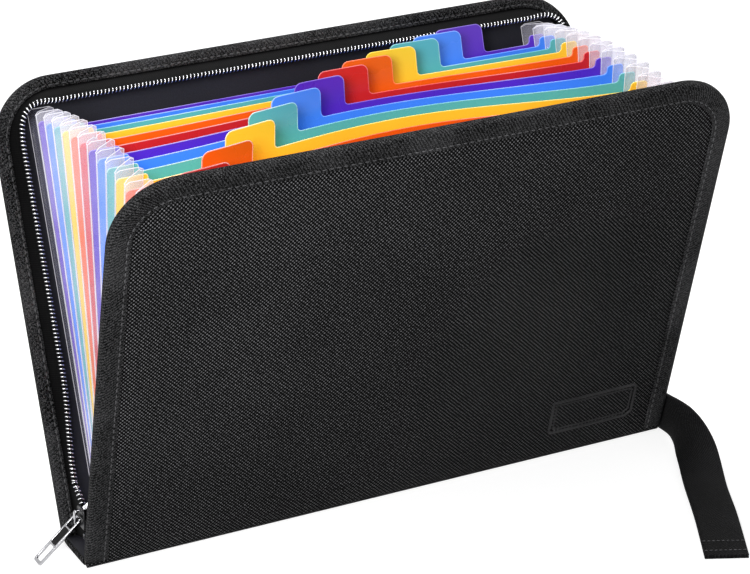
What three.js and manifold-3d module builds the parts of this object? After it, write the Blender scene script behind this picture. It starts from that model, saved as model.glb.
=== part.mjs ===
// A zip-round expanding file, standing open: two stiff covers hinged to a flat base, a zip round
// three sides of each cover, and an accordion of twelve tabbed dividers between them.
// Lengths are in millimetres. X runs along the base, -Y is the front and +Z is up. The origin is
// on the floor under the middle of the base.

import * as THREE from 'three';
import { mergeVertices } from 'three/addons/utils/BufferGeometryUtils.js';
import Module from 'manifold-3d';

const wasm = await Module();
wasm.setup();

// The case
const width = 363;
const coverHeight = 255;
const baseDepth = 38;
const restLean = THREE.MathUtils.degToRad(17.5);
const cornerRadius = 36;
const cornerSteps = 8;

// The layers of a cover and of the base
const fabricThickness = 0.8;
const boardThickness = 2;
const liningThickness = 0.6;
const boardInset = 3;
const hemHeight = 1.6;
const clearance = 0.3;
const hingeClearance = 0.4;

// The binding folded round a cover's edge
const bindingThickness = 0.8;
const bindingOuterLeg = 12;
const bindingFold = 0.5;
const bindingFoot = 0.5;

// The zip
const zipInset = 7.5;
const tapeThickness = 0.8;
const tapeFoot = 5.5;
const zipStart = 33;
const toothPitch = 3.2;
const toothRoot = 1.6;
const toothTip = 1.1;
const toothHeight = 1.7;
const toothThickness = 2.4;
const cordHeight = 0.6;
const chainGap = 0.8;
const stopLength = 3;
const stopThickness = 2.8;
const slitHalfWidth = 1.3;
const slitBottom = 8;
const mouthGap = 1.5;

// The slider and its pull
const sliderHeight = 22;
const sliderLength = 13;
const sliderNoseWidth = 11;
const sliderTailWidth = 9;
const sliderPlate = 1;
const sliderFlange = 0.9;
const sliderCorner = 1;
const sliderShoulder = 4;
const postThickness = 1;
const postLength = 2.4;
const postSetback = 1;
const crownSpan = 9.6;
const crownTunnel = 2.8;
const crownThickness = 1.1;
const crownWidth = 2.4;
const crownRound = 1.5;
const crownChamfer = 0.8;
const pullAngle = THREE.MathUtils.degToRad(39.5);
const pullLength = 33;
const pullWidth = 9;
const pullThickness = 1.6;
const pullRail = 1.9;
const pullBar = 1.3;
const pullEyeCorner = 1;
const pullEndCorner = 2;
const eyeLength = 6.6;
const insertLength = 11;
const insertThickness = 1.2;
const pullEndBar = 3.15;

// The accordion
const dividerCount = 12;
const accordionEndGap = 4;
const dividerEndGap = 21.3;
const dividerThickness = 0.4;
const tabDrop = 10;
const tabRise = 17;
const earRise = 10;
const earWidth = 17.2;
const tabWidth = 30;
const firstTabGap = 5;
const lastTabGap = 30;
const tabRadius = 4;
const filletRadius = 4;
const earRadius = 2;
const gussetThickness = 0.3;
const gussetPanel = 15;
const wrapReach = 0.8;
const pleatHeight = 1.6;
const pleatSheet = 0.6;
const pleatEndGap = 0.4;

// The wrist strap
const strapWidth = 24;
const strapPly = 1;
const strapSlit = 0.4;
const strapEndSeam = 9;
const strapSteps = 24;

const fabricBlack = new THREE.Color(0x17171a);
const bindingBlack = new THREE.Color(0x1d1d1e);
const liningBlack = new THREE.Color(0x2a292c);
const steel = new THREE.Color(0xd9d9db);
const dividerColours = {
  red: new THREE.Color(0xd3242a),
  orange: new THREE.Color(0xf36510),
  yellow: new THREE.Color(0xf4c118),
  teal: new THREE.Color(0x4fb0a6),
  blue: new THREE.Color(0x3f7ff0),
  purple: new THREE.Color(0x5829bd),
};

// Sizes that follow from the ones above
const coverThickness = fabricThickness + boardThickness + liningThickness + 2 * clearance;
const faceOffset = coverThickness / 2;
const hingeY = baseDepth / 2 - faceOffset;
const hingeZ = faceOffset;
const coverTop = coverHeight - hingeZ;
const edgeInset = bindingThickness + clearance;
const spineHalfDepth = baseDepth / 2 - coverThickness - hingeClearance;
const spineTop = fabricThickness + boardThickness + liningThickness + 2 * clearance;

const tapeInner = zipInset + tapeThickness;
const chainInset = zipInset + tapeThickness / 2;
const toothTipOffset = hingeY - chainGap;
const cordOffset = toothTipOffset - toothHeight - cordHeight;
const tapeEdgeOffset = cordOffset - clearance;
const tapeStart = zipStart - stopLength - clearance;
const chainX = width / 2 - chainInset;

const dividerHalfWidth = width / 2 - dividerEndGap;
const tabHeight = coverHeight - tabDrop;
const mainEdgeHeight = tabHeight - tabRise;
const earHeight = mainEdgeHeight + earRise;
const dividerZ = spineTop + clearance + pleatHeight + pleatSheet + clearance;
const accordionDepth = baseDepth - 2 * accordionEndGap;
const pocketDepth = accordionDepth / (dividerCount + 1);
const gussetOffset = dividerThickness / 2 + clearance + gussetThickness / 2;
const outerFold = dividerHalfWidth + wrapReach;

function material(color, roughness, metalness = 0, opacity = 1) {
  return new THREE.MeshStandardMaterial({ color, roughness, metalness, opacity, transparent: opacity < 1 });
}

function named(name, geometry, surface) {
  const mesh = new THREE.Mesh(geometry, surface);
  mesh.name = name;
  return mesh;
}

// Solids

function bare(geometry) {
  const positionsOnly = geometry.clone();
  positionsOnly.deleteAttribute('normal');
  positionsOnly.deleteAttribute('uv');
  return mergeVertices(positionsOnly, 1e-4);
}

function toSolid(geometry) {
  const closed = bare(geometry);
  const vertProperties = Float32Array.from(closed.attributes.position.array);
  const triVerts = Uint32Array.from(closed.index.array);
  return new wasm.Manifold(new wasm.Mesh({ numProp: 3, vertProperties, triVerts }));
}

function fromSolid(solid) {
  const mesh = solid.getMesh();
  const geometry = new THREE.BufferGeometry();
  geometry.setAttribute('position', new THREE.Float32BufferAttribute(mesh.vertProperties, 3));
  geometry.setIndex([...mesh.triVerts]);
  return geometry;
}

function join(...geometries) {
  const solids = geometries.map(toSolid);
  return fromSolid(solids.reduce((whole, piece) => whole.add(piece)));
}

function cut(geometry, ...tools) {
  const solids = tools.map(toSolid);
  return fromSolid(solids.reduce((whole, tool) => whole.subtract(tool), toSolid(geometry)));
}

function box(low, high) {
  const size = high.map((value, axis) => value - low[axis]);
  const middle = high.map((value, axis) => (value + low[axis]) / 2);
  return new THREE.BoxGeometry(...size).translate(...middle);
}

function polygon(points) {
  return new THREE.Shape(points.map(([x, y]) => new THREE.Vector2(x, y)));
}

function extrude(shape, depth, curveSegments = cornerSteps) {
  return new THREE.ExtrudeGeometry(shape, { depth, bevelEnabled: false, curveSegments });
}

// A shape drawn in Y and Z, run along X from one place to another
function alongX(shape, fromX, toX, curveSegments) {
  const turn = new THREE.Matrix4().makeBasis(
    new THREE.Vector3(0, 1, 0),
    new THREE.Vector3(0, 0, 1),
    new THREE.Vector3(1, 0, 0),
  );
  return extrude(shape, toX - fromX, curveSegments).applyMatrix4(turn).translate(fromX, 0, 0);
}

// A shape drawn in X and Z, as a sheet between two distances towards the front
function sheet(shape, fromFront, toFront) {
  return extrude(shape, toFront - fromFront).rotateX(Math.PI / 2).translate(0, -fromFront, 0);
}

function signedArea(ring) {
  return THREE.ShapeUtils.area(ring);
}

// The triangles that close a ring of points, wound the way the ring runs
function capTriangles(ring) {
  const runsLeft = signedArea(ring) > 0;
  return THREE.ShapeUtils.triangulateShape(ring, []).map(([a, b, c]) => {
    const turnsLeft = signedArea([ring[a], ring[b], ring[c]]) > 0;
    return turnsLeft === runsLeft ? [a, b, c] : [a, c, b];
  });
}

function signedVolume(positions, indices) {
  const corner = (index) => new THREE.Vector3().fromArray(positions, 3 * index);
  let volume = 0;
  for (let i = 0; i < indices.length; i += 3) {
    const [a, b, c] = [corner(indices[i]), corner(indices[i + 1]), corner(indices[i + 2])];
    volume += a.dot(b.cross(c)) / 6;
  }
  return volume;
}

// A geometry with its triangles turned to face out
function facingOut(positions, indices) {
  const geometry = new THREE.BufferGeometry();
  geometry.setAttribute('position', new THREE.Float32BufferAttribute(positions, 3));
  const outward = signedVolume(positions, indices) > 0 ? indices : [...indices].reverse();
  geometry.setIndex(outward);
  return geometry;
}

// A solid through a row of matching rings. The cap is the triangles that close a ring. From the
// ring point "back" on, the sides are split along their other diagonal, so that the two faces of
// a twisted band follow each other.
function loft(rings, cap, back = Infinity) {
  const count = rings[0].length;
  const positions = rings.flat().flatMap((point) => point.toArray());
  const indices = [];
  for (let i = 0; i + 1 < rings.length; i++) {
    for (let j = 0; j < count; j++) {
      const next = (j + 1) % count;
      const [a, b] = [i * count + j, i * count + next];
      const [c, d] = [b + count, a + count];
      if (j < back) indices.push(a, b, c, a, c, d);
      else indices.push(a, b, d, b, c, d);
    }
  }
  const last = (rings.length - 1) * count;
  for (const [a, b, c] of cap) indices.push(a, c, b, last + a, last + b, last + c);
  return facingOut(positions, indices);
}

// The covers. A cover stands in its own frame: the hinge line is X, its outside faces -Y.

function coverOutline(inset, bottom) {
  const half = width / 2 - inset;
  const top = coverTop - inset;
  const radius = cornerRadius - inset;
  const shape = new THREE.Shape();
  shape.moveTo(-half, bottom);
  shape.lineTo(half, bottom);
  shape.lineTo(half, top - radius);
  shape.absarc(half - radius, top - radius, radius, 0, Math.PI / 2);
  shape.lineTo(-half + radius, top);
  shape.absarc(-half + radius, top - radius, radius, Math.PI / 2, Math.PI);
  return shape;
}

// The outer skin, with its lower edge rolled round the hinge line as a hem
function coverFabric() {
  const skin = sheet(coverOutline(edgeInset, 0), faceOffset - fabricThickness, faceOffset);
  const half = width / 2 - edgeInset;
  const section = new THREE.Shape();
  section.moveTo(faceOffset, hemHeight);
  section.lineTo(-faceOffset, hemHeight);
  section.lineTo(-faceOffset, 0);
  section.absarc(0, 0, faceOffset, Math.PI, 2 * Math.PI);
  return join(skin, alongX(section, -half, half));
}

function coverBoard() {
  const outer = faceOffset - fabricThickness - clearance;
  return sheet(coverOutline(boardInset, hemHeight + clearance), outer - boardThickness, outer);
}

function coverLining() {
  const outline = coverOutline(edgeInset, hemHeight + clearance);
  return sheet(outline, -faceOffset, liningThickness - faceOffset);
}

// Places along a cover's edge, up the left side, over the top and down the right side. Each has
// the direction into the cover.
function edgePath(startHeight) {
  const half = width / 2;
  const centreX = half - cornerRadius;
  const centreZ = coverTop - cornerRadius;
  const path = [{ x: -half, z: startHeight, inX: 1, inZ: 0 }];
  for (const [side, from] of [[-1, Math.PI], [1, Math.PI / 2]]) {
    for (let i = 0; i <= cornerSteps; i++) {
      const angle = from - (i / cornerSteps) * (Math.PI / 2);
      const [outX, outZ] = [Math.cos(angle), Math.sin(angle)];
      const x = side * centreX + cornerRadius * outX;
      path.push({ x, z: centreZ + cornerRadius * outZ, inX: -outX, inZ: -outZ });
    }
  }
  path.push({ x: half, z: startHeight, inX: -1, inZ: 0 });
  return path;
}

// A section run round a cover's edge. Its points are the distance in from the edge, and the
// distance out from the hinge plane.
function roundEdge(section, startHeight) {
  const rings = edgePath(startHeight).map(({ x, z, inX, inZ }) =>
    section.map(([inward, out]) => new THREE.Vector3(x + inward * inX, -out, z + inward * inZ)),
  );
  const flat = section.map(([inward, out]) => new THREE.Vector2(inward, out));
  return loft(rings, capTriangles(flat));
}

function binding() {
  const outside = faceOffset + clearance;
  const outsideTop = outside + bindingThickness;
  const inside = -(faceOffset + clearance + tapeThickness + clearance);
  const insideTop = inside - bindingThickness;
  const innerLeg = zipInset - clearance;
  const section = [
    [0, outsideTop - bindingFold],
    [bindingFold, outsideTop],
    [bindingOuterLeg, outsideTop],
    [bindingOuterLeg, outside],
    [bindingThickness, outside],
    [bindingThickness, inside],
    [innerLeg, inside],
    [innerLeg, insideTop],
    [bindingFold, insideTop],
    [0, insideTop + bindingFold],
  ];
  const hemTop = hemHeight + 3 * clearance;
  const hingeRoom = box([-width, 0, -width], [width, baseDepth, hemTop]);
  return cut(roundEdge(section, bindingFoot), hingeRoom);
}

function zipTape() {
  const seat = -(faceOffset + clearance);
  const section = [
    [tapeInner - tapeFoot - tapeThickness, seat],
    [tapeInner, seat],
    [tapeInner, -tapeEdgeOffset],
    [zipInset, -tapeEdgeOffset],
    [zipInset, seat - tapeThickness],
    [tapeInner - tapeFoot - tapeThickness, seat - tapeThickness],
  ];
  return roundEdge(section, tapeStart);
}

// The middle line of the tooth chain, by distance along it
const chain = {
  radius: cornerRadius - chainInset,
  centreX: width / 2 - cornerRadius,
  centreZ: coverTop - cornerRadius,
};
chain.side = chain.centreZ - zipStart;
chain.arc = (chain.radius * Math.PI) / 2;
chain.top = 2 * chain.centreX;
chain.length = 2 * chain.side + 2 * chain.arc + chain.top;

function chainPlace(distance) {
  const topStart = chain.side + chain.arc;
  const topEnd = topStart + chain.top;
  const rightSide = topEnd + chain.arc;
  if (distance < chain.side) {
    return { x: -chainX, z: zipStart + distance, inX: 1, inZ: 0 };
  }
  if (distance > rightSide) {
    return { x: chainX, z: chain.centreZ - (distance - rightSide), inX: -1, inZ: 0 };
  }
  if (distance > topStart && distance < topEnd) {
    const x = distance - topStart - chain.centreX;
    return { x, z: chain.centreZ + chain.radius, inX: 0, inZ: -1 };
  }
  const onLeft = distance <= topStart;
  const turned = (onLeft ? distance - chain.side : distance - topEnd) / chain.radius;
  const angle = (onLeft ? Math.PI : Math.PI / 2) - turned;
  const [outX, outZ] = [Math.cos(angle), Math.sin(angle)];
  const x = (onLeft ? -chain.centreX : chain.centreX) + chain.radius * outX;
  return { x, z: chain.centreZ + chain.radius * outZ, inX: -outX, inZ: -outZ };
}

// The triangles between two rows of points that run side by side, each row given as [index, place]
function stripTriangles(near, far) {
  const triangles = [];
  let [i, j] = [0, 0];
  while (i + 1 < near.length || j + 1 < far.length) {
    const nearNext = i + 1 < near.length ? near[i + 1][1] : Infinity;
    const farNext = j + 1 < far.length ? far[j + 1][1] : Infinity;
    if (farNext <= nearNext) {
      triangles.push([near[i][0], far[j][0], far[j + 1][0]]);
      j++;
    } else {
      triangles.push([near[i][0], far[j][0], near[i + 1][0]]);
      i++;
    }
  }
  return triangles;
}

// The teeth on their cord: a comb bent round the cover's corners. The last tooth stands half a
// pitch further from its end than the first, so that the facing chain, which is this one turned
// half round, has its teeth in this one's gaps.
function zipTeeth() {
  const run = chain.length - 2 * toothRoot;
  const count = Math.round(run / toothPitch + 0.5);
  const pitch = run / (count - 0.5);
  const root = cordOffset + cordHeight;
  const front = [[0, root]];
  const rootRow = [[0, 0]];
  const triangles = [];
  for (let k = 0; k < count; k++) {
    const middle = toothRoot + k * pitch;
    const first = front.length;
    front.push([middle - toothRoot / 2, root], [middle - toothTip / 2, toothTipOffset]);
    front.push([middle + toothTip / 2, toothTipOffset], [middle + toothRoot / 2, root]);
    triangles.push([first, first + 1, first + 2], [first, first + 2, first + 3]);
    rootRow.push([first, middle - toothRoot / 2], [first + 3, middle + toothRoot / 2]);
  }
  rootRow.push([front.length, chain.length]);
  front.push([chain.length, root]);

  const backPlaces = [0];
  for (const from of [chain.side, chain.side + chain.arc + chain.top]) {
    const steps = Math.round(chain.arc / pitch);
    for (let i = 0; i <= steps; i++) backPlaces.push(from + (chain.arc * i) / steps);
  }
  backPlaces.push(chain.length);
  const backRow = backPlaces.map((distance, i) => [front.length + i, distance]);
  triangles.push(...stripTriangles(backRow, rootRow));

  const comb = [...front, ...backPlaces.map((distance) => [distance, cordOffset])];
  const outline = [...front.keys(), ...backRow.map(([index]) => index).reverse()];
  const positions = [];
  for (const inward of [-toothThickness / 2, toothThickness / 2]) {
    for (const [distance, out] of comb) {
      const place = chainPlace(distance);
      positions.push(place.x + inward * place.inX, out, place.z + inward * place.inZ);
    }
  }
  const far = comb.length;
  const indices = [];
  for (const [a, b, c] of triangles) indices.push(a, b, c, far + a, far + c, far + b);
  outline.forEach((start, i) => {
    const end = outline[(i + 1) % outline.length];
    indices.push(end, start, far + start, end, far + start, far + end);
  });
  return facingOut(positions, indices);
}

// The metal stop at the end of a chain, on the given side of its cover
function zipStop(side) {
  const inner = chainX - stopThickness / 2;
  const outer = chainX + stopThickness / 2;
  const xs = [side * inner, side * outer].sort((a, b) => a - b);
  const low = [xs[0], cordOffset, zipStart - clearance - stopLength];
  const high = [xs[1], toothTipOffset, zipStart - clearance];
  return box(low, high);
}

function cover(name, isFront) {
  const pieces = new THREE.Group();
  const fabric = material(fabricBlack, 0.62);
  const tape = material(bindingBlack, 0.85);
  pieces.add(
    named(`${name}_cover_fabric`, coverFabric(), fabric),
    named(`${name}_cover_board`, coverBoard(), material(new THREE.Color(0x6d6a64), 0.9)),
    named(`${name}_cover_lining`, coverLining(), material(liningBlack, 0.45)),
    named(`${name}_binding`, binding(), tape),
    named(`${name}_zip_tape`, zipTape(), tape),
    named(`${name}_zip_teeth`, zipTeeth(), material(steel, 0.25, 1)),
    named(`${name}_zip_stop`, zipStop(isFront ? 1 : -1), material(steel, 0.3, 1)),
  );
  pieces.position.set(0, -hingeY, hingeZ);
  pieces.rotation.x = restLean;
  const facing = new THREE.Group();
  facing.rotation.z = isFront ? 0 : Math.PI;
  facing.add(pieces);
  return facing;
}

// The base

function spineFabric() {
  const half = width / 2;
  const inner = half - fabricThickness;
  const section = polygon([
    [-half, 0],
    [half, 0],
    [half, spineTop],
    [inner, spineTop],
    [inner, fabricThickness],
    [-inner, fabricThickness],
    [-inner, spineTop],
    [-half, spineTop],
  ]);
  return sheet(section, -spineHalfDepth, spineHalfDepth);
}

function spineLayer(bottom, thickness) {
  const half = width / 2 - fabricThickness - clearance;
  return box([-half, -spineHalfDepth, bottom], [half, spineHalfDepth, bottom + thickness]);
}

function base() {
  const boardBottom = fabricThickness + clearance;
  const liningBottom = boardBottom + boardThickness + clearance;
  const group = new THREE.Group();
  group.add(
    named('spine_fabric', spineFabric(), material(fabricBlack, 0.62)),
    named('spine_board', spineLayer(boardBottom, boardThickness), material(new THREE.Color(0x6d6a64), 0.9)),
    named('spine_lining', spineLayer(liningBottom, liningThickness), material(liningBlack, 0.45)),
  );
  return group;
}

// The accordion

// Where a divider stands: 0 is the front cover's hinge, then the dividers from front to back, and
// the last is the back cover's hinge
function station(index) {
  const share = index / (dividerCount + 1);
  const lean = restLean * (2 * share - 1);
  if (index === 0) return { y: -hingeY, z: hingeZ, lean };
  if (index === dividerCount + 1) return { y: hingeY, z: hingeZ, lean };
  return { y: accordionDepth * (share - 0.5), z: dividerZ, lean };
}

// A place beside a divider: how far behind it, and how high up it
function beside(index, behind, height) {
  const { y, z, lean } = station(index);
  const up = height + (dividerZ - z);
  return {
    y: y + behind * Math.cos(lean) + up * Math.sin(lean),
    z: z - behind * Math.sin(lean) + up * Math.cos(lean),
  };
}

function tabLeft(index) {
  const earEdge = dividerHalfWidth - earWidth;
  const first = -earEdge + firstTabGap;
  const last = earEdge - lastTabGap - tabWidth;
  return first + ((last - first) * (index - 1)) / (dividerCount - 1);
}

// A divider's outline, in its own plane from its lower edge: an ear at each end, where the gusset
// is welded on, and one tab
function dividerOutline(index) {
  const main = mainEdgeHeight - dividerZ;
  const ear = earHeight - dividerZ;
  const tab = tabHeight - dividerZ;
  const half = dividerHalfWidth;
  const earEdge = half - earWidth;
  const left = tabLeft(index);
  const right = left + tabWidth;
  const fillet = Math.min(filletRadius, firstTabGap / 2, lastTabGap / 2);
  const shape = new THREE.Shape();
  shape.moveTo(-half, 0);
  shape.lineTo(half, 0);
  shape.lineTo(half, ear - earRadius);
  shape.absarc(half - earRadius, ear - earRadius, earRadius, 0, Math.PI / 2);
  shape.absarc(earEdge + earRadius, ear - earRadius, earRadius, Math.PI / 2, Math.PI);
  shape.absarc(earEdge - fillet, main + fillet, fillet, 0, -Math.PI / 2, true);
  shape.absarc(right + fillet, main + fillet, fillet, -Math.PI / 2, -Math.PI, true);
  shape.absarc(right - tabRadius, tab - tabRadius, tabRadius, 0, Math.PI / 2);
  shape.absarc(left + tabRadius, tab - tabRadius, tabRadius, Math.PI / 2, Math.PI);
  shape.absarc(left - fillet, main + fillet, fillet, 0, -Math.PI / 2, true);
  shape.absarc(-earEdge + fillet, main + fillet, fillet, -Math.PI / 2, -Math.PI, true);
  shape.absarc(-earEdge - earRadius, ear - earRadius, earRadius, 0, Math.PI / 2);
  shape.absarc(-half + earRadius, ear - earRadius, earRadius, Math.PI / 2, Math.PI);
  return shape;
}

function divider(index) {
  const outline = dividerOutline(index);
  const geometry = extrude(outline, dividerThickness, 2);
  geometry.rotateX(Math.PI / 2).translate(0, dividerThickness / 2, 0);
  const order = Object.values(dividerColours);
  const colour = order[(index - 1) % order.length];
  const name = `divider_${String(index).padStart(2, '0')}`;
  const mesh = named(name, geometry, material(colour, 0.3));
  const { y, z, lean } = station(index);
  mesh.position.set(0, y, z);
  mesh.rotation.x = -lean;
  return mesh;
}

// The pleated strip under the pockets, with a ridge below each divider
function accordionBase() {
  const valley = spineTop + clearance;
  const ridge = valley + pleatHeight;
  const end = spineHalfDepth - pleatEndGap;
  const lower = [[-end, ridge]];
  for (let pocket = 0; pocket <= dividerCount; pocket++) {
    if (pocket > 0) lower.push([station(pocket).y, ridge]);
    lower.push([pocketDepth * (pocket + 0.5) - accordionDepth / 2, valley]);
  }
  lower.push([end, ridge]);
  const upper = lower.map(([y, z]) => [y, z + pleatSheet]).reverse();
  return alongX(polygon([...lower, ...upper]), -dividerHalfWidth, dividerHalfWidth);
}

// A thin band about a folded line in the plane: the ring of points round it, where the ring turns
// back, and the triangles that close it. Each point keeps the number of the fold that it came from,
// and its place in the order of folds. A fold is bevelled on its outside.
function thicken(line, thickness) {
  const half = thickness / 2;
  const bevel = 0.25;
  const normalOf = (a, b) => {
    const along = b.clone().sub(a).normalize();
    return new THREE.Vector2(-along.y, along.x);
  };
  const sides = [[], []];
  line.forEach((point, fold) => {
    const before = fold > 0 ? normalOf(line[fold - 1], point) : null;
    const after = fold + 1 < line.length ? normalOf(point, line[fold + 1]) : null;
    const turn = before && after ? before.cross(after) : 0;
    for (const [side, sign] of [[0, 1], [1, -1]]) {
      const add = (normal, reach, place) => {
        sides[side].push({ fold, place, at: point.clone().addScaledVector(normal, sign * reach) });
      };
      if (!before || !after) {
        add(before ?? after, half, fold);
      } else if (turn * sign > 0) {
        const middle = before.clone().add(after).normalize();
        add(middle, half / middle.dot(after), fold);
      } else {
        add(before, half, fold - bevel);
        add(after, half, fold + bevel);
      }
    }
  });
  const ring = [...sides[0], ...[...sides[1]].reverse()];
  const near = sides[1].map(({ place }, i) => [ring.length - 1 - i, place]);
  const far = sides[0].map(({ place }, i) => [i, place]);
  return { ring, back: sides[0].length, cap: stripTriangles(near, far) };
}

// A clear pleated side. Each divider carries a panel in front of its ear. Behind the divider the
// sheet wraps round its end and runs inwards to the next panel.
function gusset(side) {
  const innerFold = outerFold - gussetPanel;
  const lining = faceOffset + clearance + gussetThickness / 2;
  const last = dividerCount + 1;
  const folds = [[outerFold, last, -lining], [innerFold, last, -lining]];
  for (let index = dividerCount; index >= 1; index--) {
    folds.push([outerFold, index, gussetOffset], [outerFold, index, -gussetOffset]);
    folds.push([innerFold, index, -gussetOffset]);
  }
  folds.push([outerFold, 0, lining], [innerFold, 0, lining]);
  const [low, high] = [clearance, earHeight - dividerZ].map((height) => {
    const places = folds.map(([, index, behind]) => beside(index, behind, height));
    const line = folds.map(([x], fold) => new THREE.Vector2(side * x, places[fold].y));
    const { ring, back, cap } = thicken(line, gussetThickness);
    const points = ring.map(({ fold, at }) => new THREE.Vector3(at.x, at.y, places[fold].z));
    return { points, back, cap };
  });
  return loft([low.points, high.points], low.cap, low.back);
}

function accordion() {
  const group = new THREE.Group();
  const clear = material(new THREE.Color(0xe6e3f2), 0.2, 0, 0.45);
  group.add(
    named('accordion_base', accordionBase(), clear),
    named('gusset_left', gusset(-1), clear),
    named('gusset_right', gusset(1), clear),
  );
  for (let index = 1; index <= dividerCount; index++) group.add(divider(index));
  return group;
}

// The ends of the zip

// A place by the back cover: out from its hinge plane, and up it. It is given as Y and Z.
function byBackCover(out, height) {
  return [
    hingeY + out * Math.cos(restLean) + height * Math.sin(restLean),
    hingeZ - out * Math.sin(restLean) + height * Math.cos(restLean),
  ];
}

// The soft end of both tapes: down from the rigid stretch, in to the slider's mouth and on to the
// base, with a slit between the tapes
function zipEnd(side) {
  const seat = -(faceOffset + clearance);
  const top = tapeStart - clearance;
  const foot = hemHeight * 2;
  const mouth = sliderHeight + sliderLength / 2 + mouthGap;
  const back = [
    [spineHalfDepth - pleatEndGap, spineTop + clearance],
    byBackCover(seat, foot),
    byBackCover(seat, top),
    byBackCover(-tapeEdgeOffset, top),
    [slitHalfWidth, mouth],
    [slitHalfWidth, slitBottom],
  ];
  const front = back.map(([y, z]) => [-y, z]).reverse();
  const xs = [side * (width / 2 - tapeInner), side * (width / 2 - zipInset)].sort((a, b) => a - b);
  return alongX(polygon([...back, ...front]), xs[0], xs[1]);
}

function zipBottomStop() {
  const half = slitHalfWidth - clearance;
  const bottom = slitBottom + clearance;
  return box(
    [-chainX - stopThickness / 2, -half, bottom],
    [-chainX + stopThickness / 2, half, bottom + stopLength],
  );
}

function zipEnds() {
  const group = new THREE.Group();
  const tape = material(bindingBlack, 0.85);
  group.add(
    named('zip_end_left', zipEnd(-1), tape),
    named('zip_end_right', zipEnd(1), tape),
    named('zip_bottom_stop', zipBottomStop(), material(steel, 0.3, 1)),
  );
  return group;
}

// The slider and its pull

const plateOffset = toothThickness / 2 + clearance;
const plateOutside = plateOffset + sliderPlate;
const pivotX = -(chainX + plateOutside + crownTunnel / 2);

// A slider plate's face: a wide nose at the top, drawn in to the tail
function plateOutline() {
  const nose = sliderNoseWidth / 2;
  const tail = sliderTailWidth / 2;
  const half = sliderLength / 2;
  const corner = sliderCorner;
  const shoulder = half - sliderShoulder;
  const shape = new THREE.Shape();
  shape.moveTo(-tail + corner, -half);
  shape.lineTo(tail - corner, -half);
  shape.quadraticCurveTo(tail, -half, tail, -half + corner);
  shape.lineTo(nose, shoulder);
  shape.quadraticCurveTo(nose, half - corner, 0, half);
  shape.quadraticCurveTo(-nose, half - corner, -nose, shoulder);
  shape.lineTo(-tail, -half + corner);
  shape.quadraticCurveTo(-tail, -half, -tail + corner, -half);
  return shape;
}

// The crown that holds the pull: an arch along the slider, over the outer plate
function crown() {
  const half = crownSpan / 2;
  const overlap = sliderPlate / 2;
  const inner = half - crownThickness;
  const rise = crownTunnel + crownThickness;
  const shape = new THREE.Shape();
  shape.moveTo(-half, -overlap);
  shape.lineTo(-inner, -overlap);
  shape.lineTo(-inner, crownTunnel - crownChamfer);
  shape.lineTo(-inner + crownChamfer, crownTunnel);
  shape.lineTo(inner - crownChamfer, crownTunnel);
  shape.lineTo(inner, crownTunnel - crownChamfer);
  shape.lineTo(inner, -overlap);
  shape.lineTo(half, -overlap);
  shape.lineTo(half, rise - crownRound);
  shape.quadraticCurveTo(half, rise, half - crownRound, rise);
  shape.lineTo(-half + crownRound, rise);
  shape.quadraticCurveTo(-half, rise, -half, rise - crownRound);
  const arch = extrude(shape, crownWidth, 3).translate(0, 0, -crownWidth / 2);
  const turn = new THREE.Matrix4().makeBasis(
    new THREE.Vector3(0, 0, 1),
    new THREE.Vector3(-1, 0, 0),
    new THREE.Vector3(0, -1, 0),
  );
  return arch.applyMatrix4(turn).translate(-plateOutside, 0, 0);
}

// Two plates over the chains, flanges that guide the tapes, and a post between the chains
function slider() {
  const outer = alongX(plateOutline(), -plateOutside, -plateOffset, 4);
  const inner = alongX(plateOutline(), plateOffset, plateOutside, 4);
  const tapeRoom = tapeThickness / 2 + clearance;
  const half = sliderLength / 2;
  const inPlate = plateOffset + sliderPlate / 2;
  const flanges = [-1, 1].flatMap((side) => {
    const middle = side * (sliderTailWidth - sliderFlange) / 2;
    const ys = [middle - sliderFlange / 2, middle + sliderFlange / 2];
    return [
      box([-inPlate, ys[0], -half + sliderCorner], [-tapeRoom, ys[1], half - sliderShoulder]),
      box([tapeRoom, ys[0], -half + sliderCorner], [inPlate, ys[1], half - sliderShoulder]),
    ];
  });
  const postTop = half - postSetback;
  const post = box(
    [-inPlate, -postThickness / 2, postTop - postLength],
    [inPlate, postThickness / 2, postTop],
  );
  return join(outer, inner, ...flanges, post, crown());
}

const eyeEnd = pullBar / 2 + eyeLength;
const insertStart = eyeEnd + pullBar;
const windowStart = insertStart + insertLength + pullBar;
const windowEnd = pullLength - pullEndBar;

// The pull lies along X from its pivot bar, with an eye for the crown, a recess for the insert and
// an open window at its far end
function pull() {
  const start = -pullBar / 2;
  const half = pullWidth / 2;
  const outline = new THREE.Shape();
  outline.moveTo(start, -half + pullEyeCorner);
  outline.quadraticCurveTo(start, -half, start + pullEyeCorner, -half);
  outline.lineTo(pullLength - pullEndCorner, -half);
  outline.quadraticCurveTo(pullLength, -half, pullLength, -half + pullEndCorner);
  outline.lineTo(pullLength, half - pullEndCorner);
  outline.quadraticCurveTo(pullLength, half, pullLength - pullEndCorner, half);
  outline.lineTo(start + pullEyeCorner, half);
  outline.quadraticCurveTo(start, half, start, half - pullEyeCorner);
  const plate = extrude(outline, pullThickness, 3).translate(0, 0, -pullThickness / 2);
  const opening = half - pullRail;
  const openings = [
    [pullBar / 2, eyeEnd],
    [insertStart, insertStart + insertLength],
    [windowStart, windowEnd],
  ];
  return cut(plate, ...openings.map(([from, to]) =>
    box([from, -opening, -pullThickness], [to, opening, pullThickness])));
}

function pullInsert() {
  const half = pullWidth / 2 - pullRail - clearance;
  return box(
    [insertStart + clearance, -half, -insertThickness / 2],
    [insertStart + insertLength - clearance, half, insertThickness / 2],
  );
}

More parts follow.
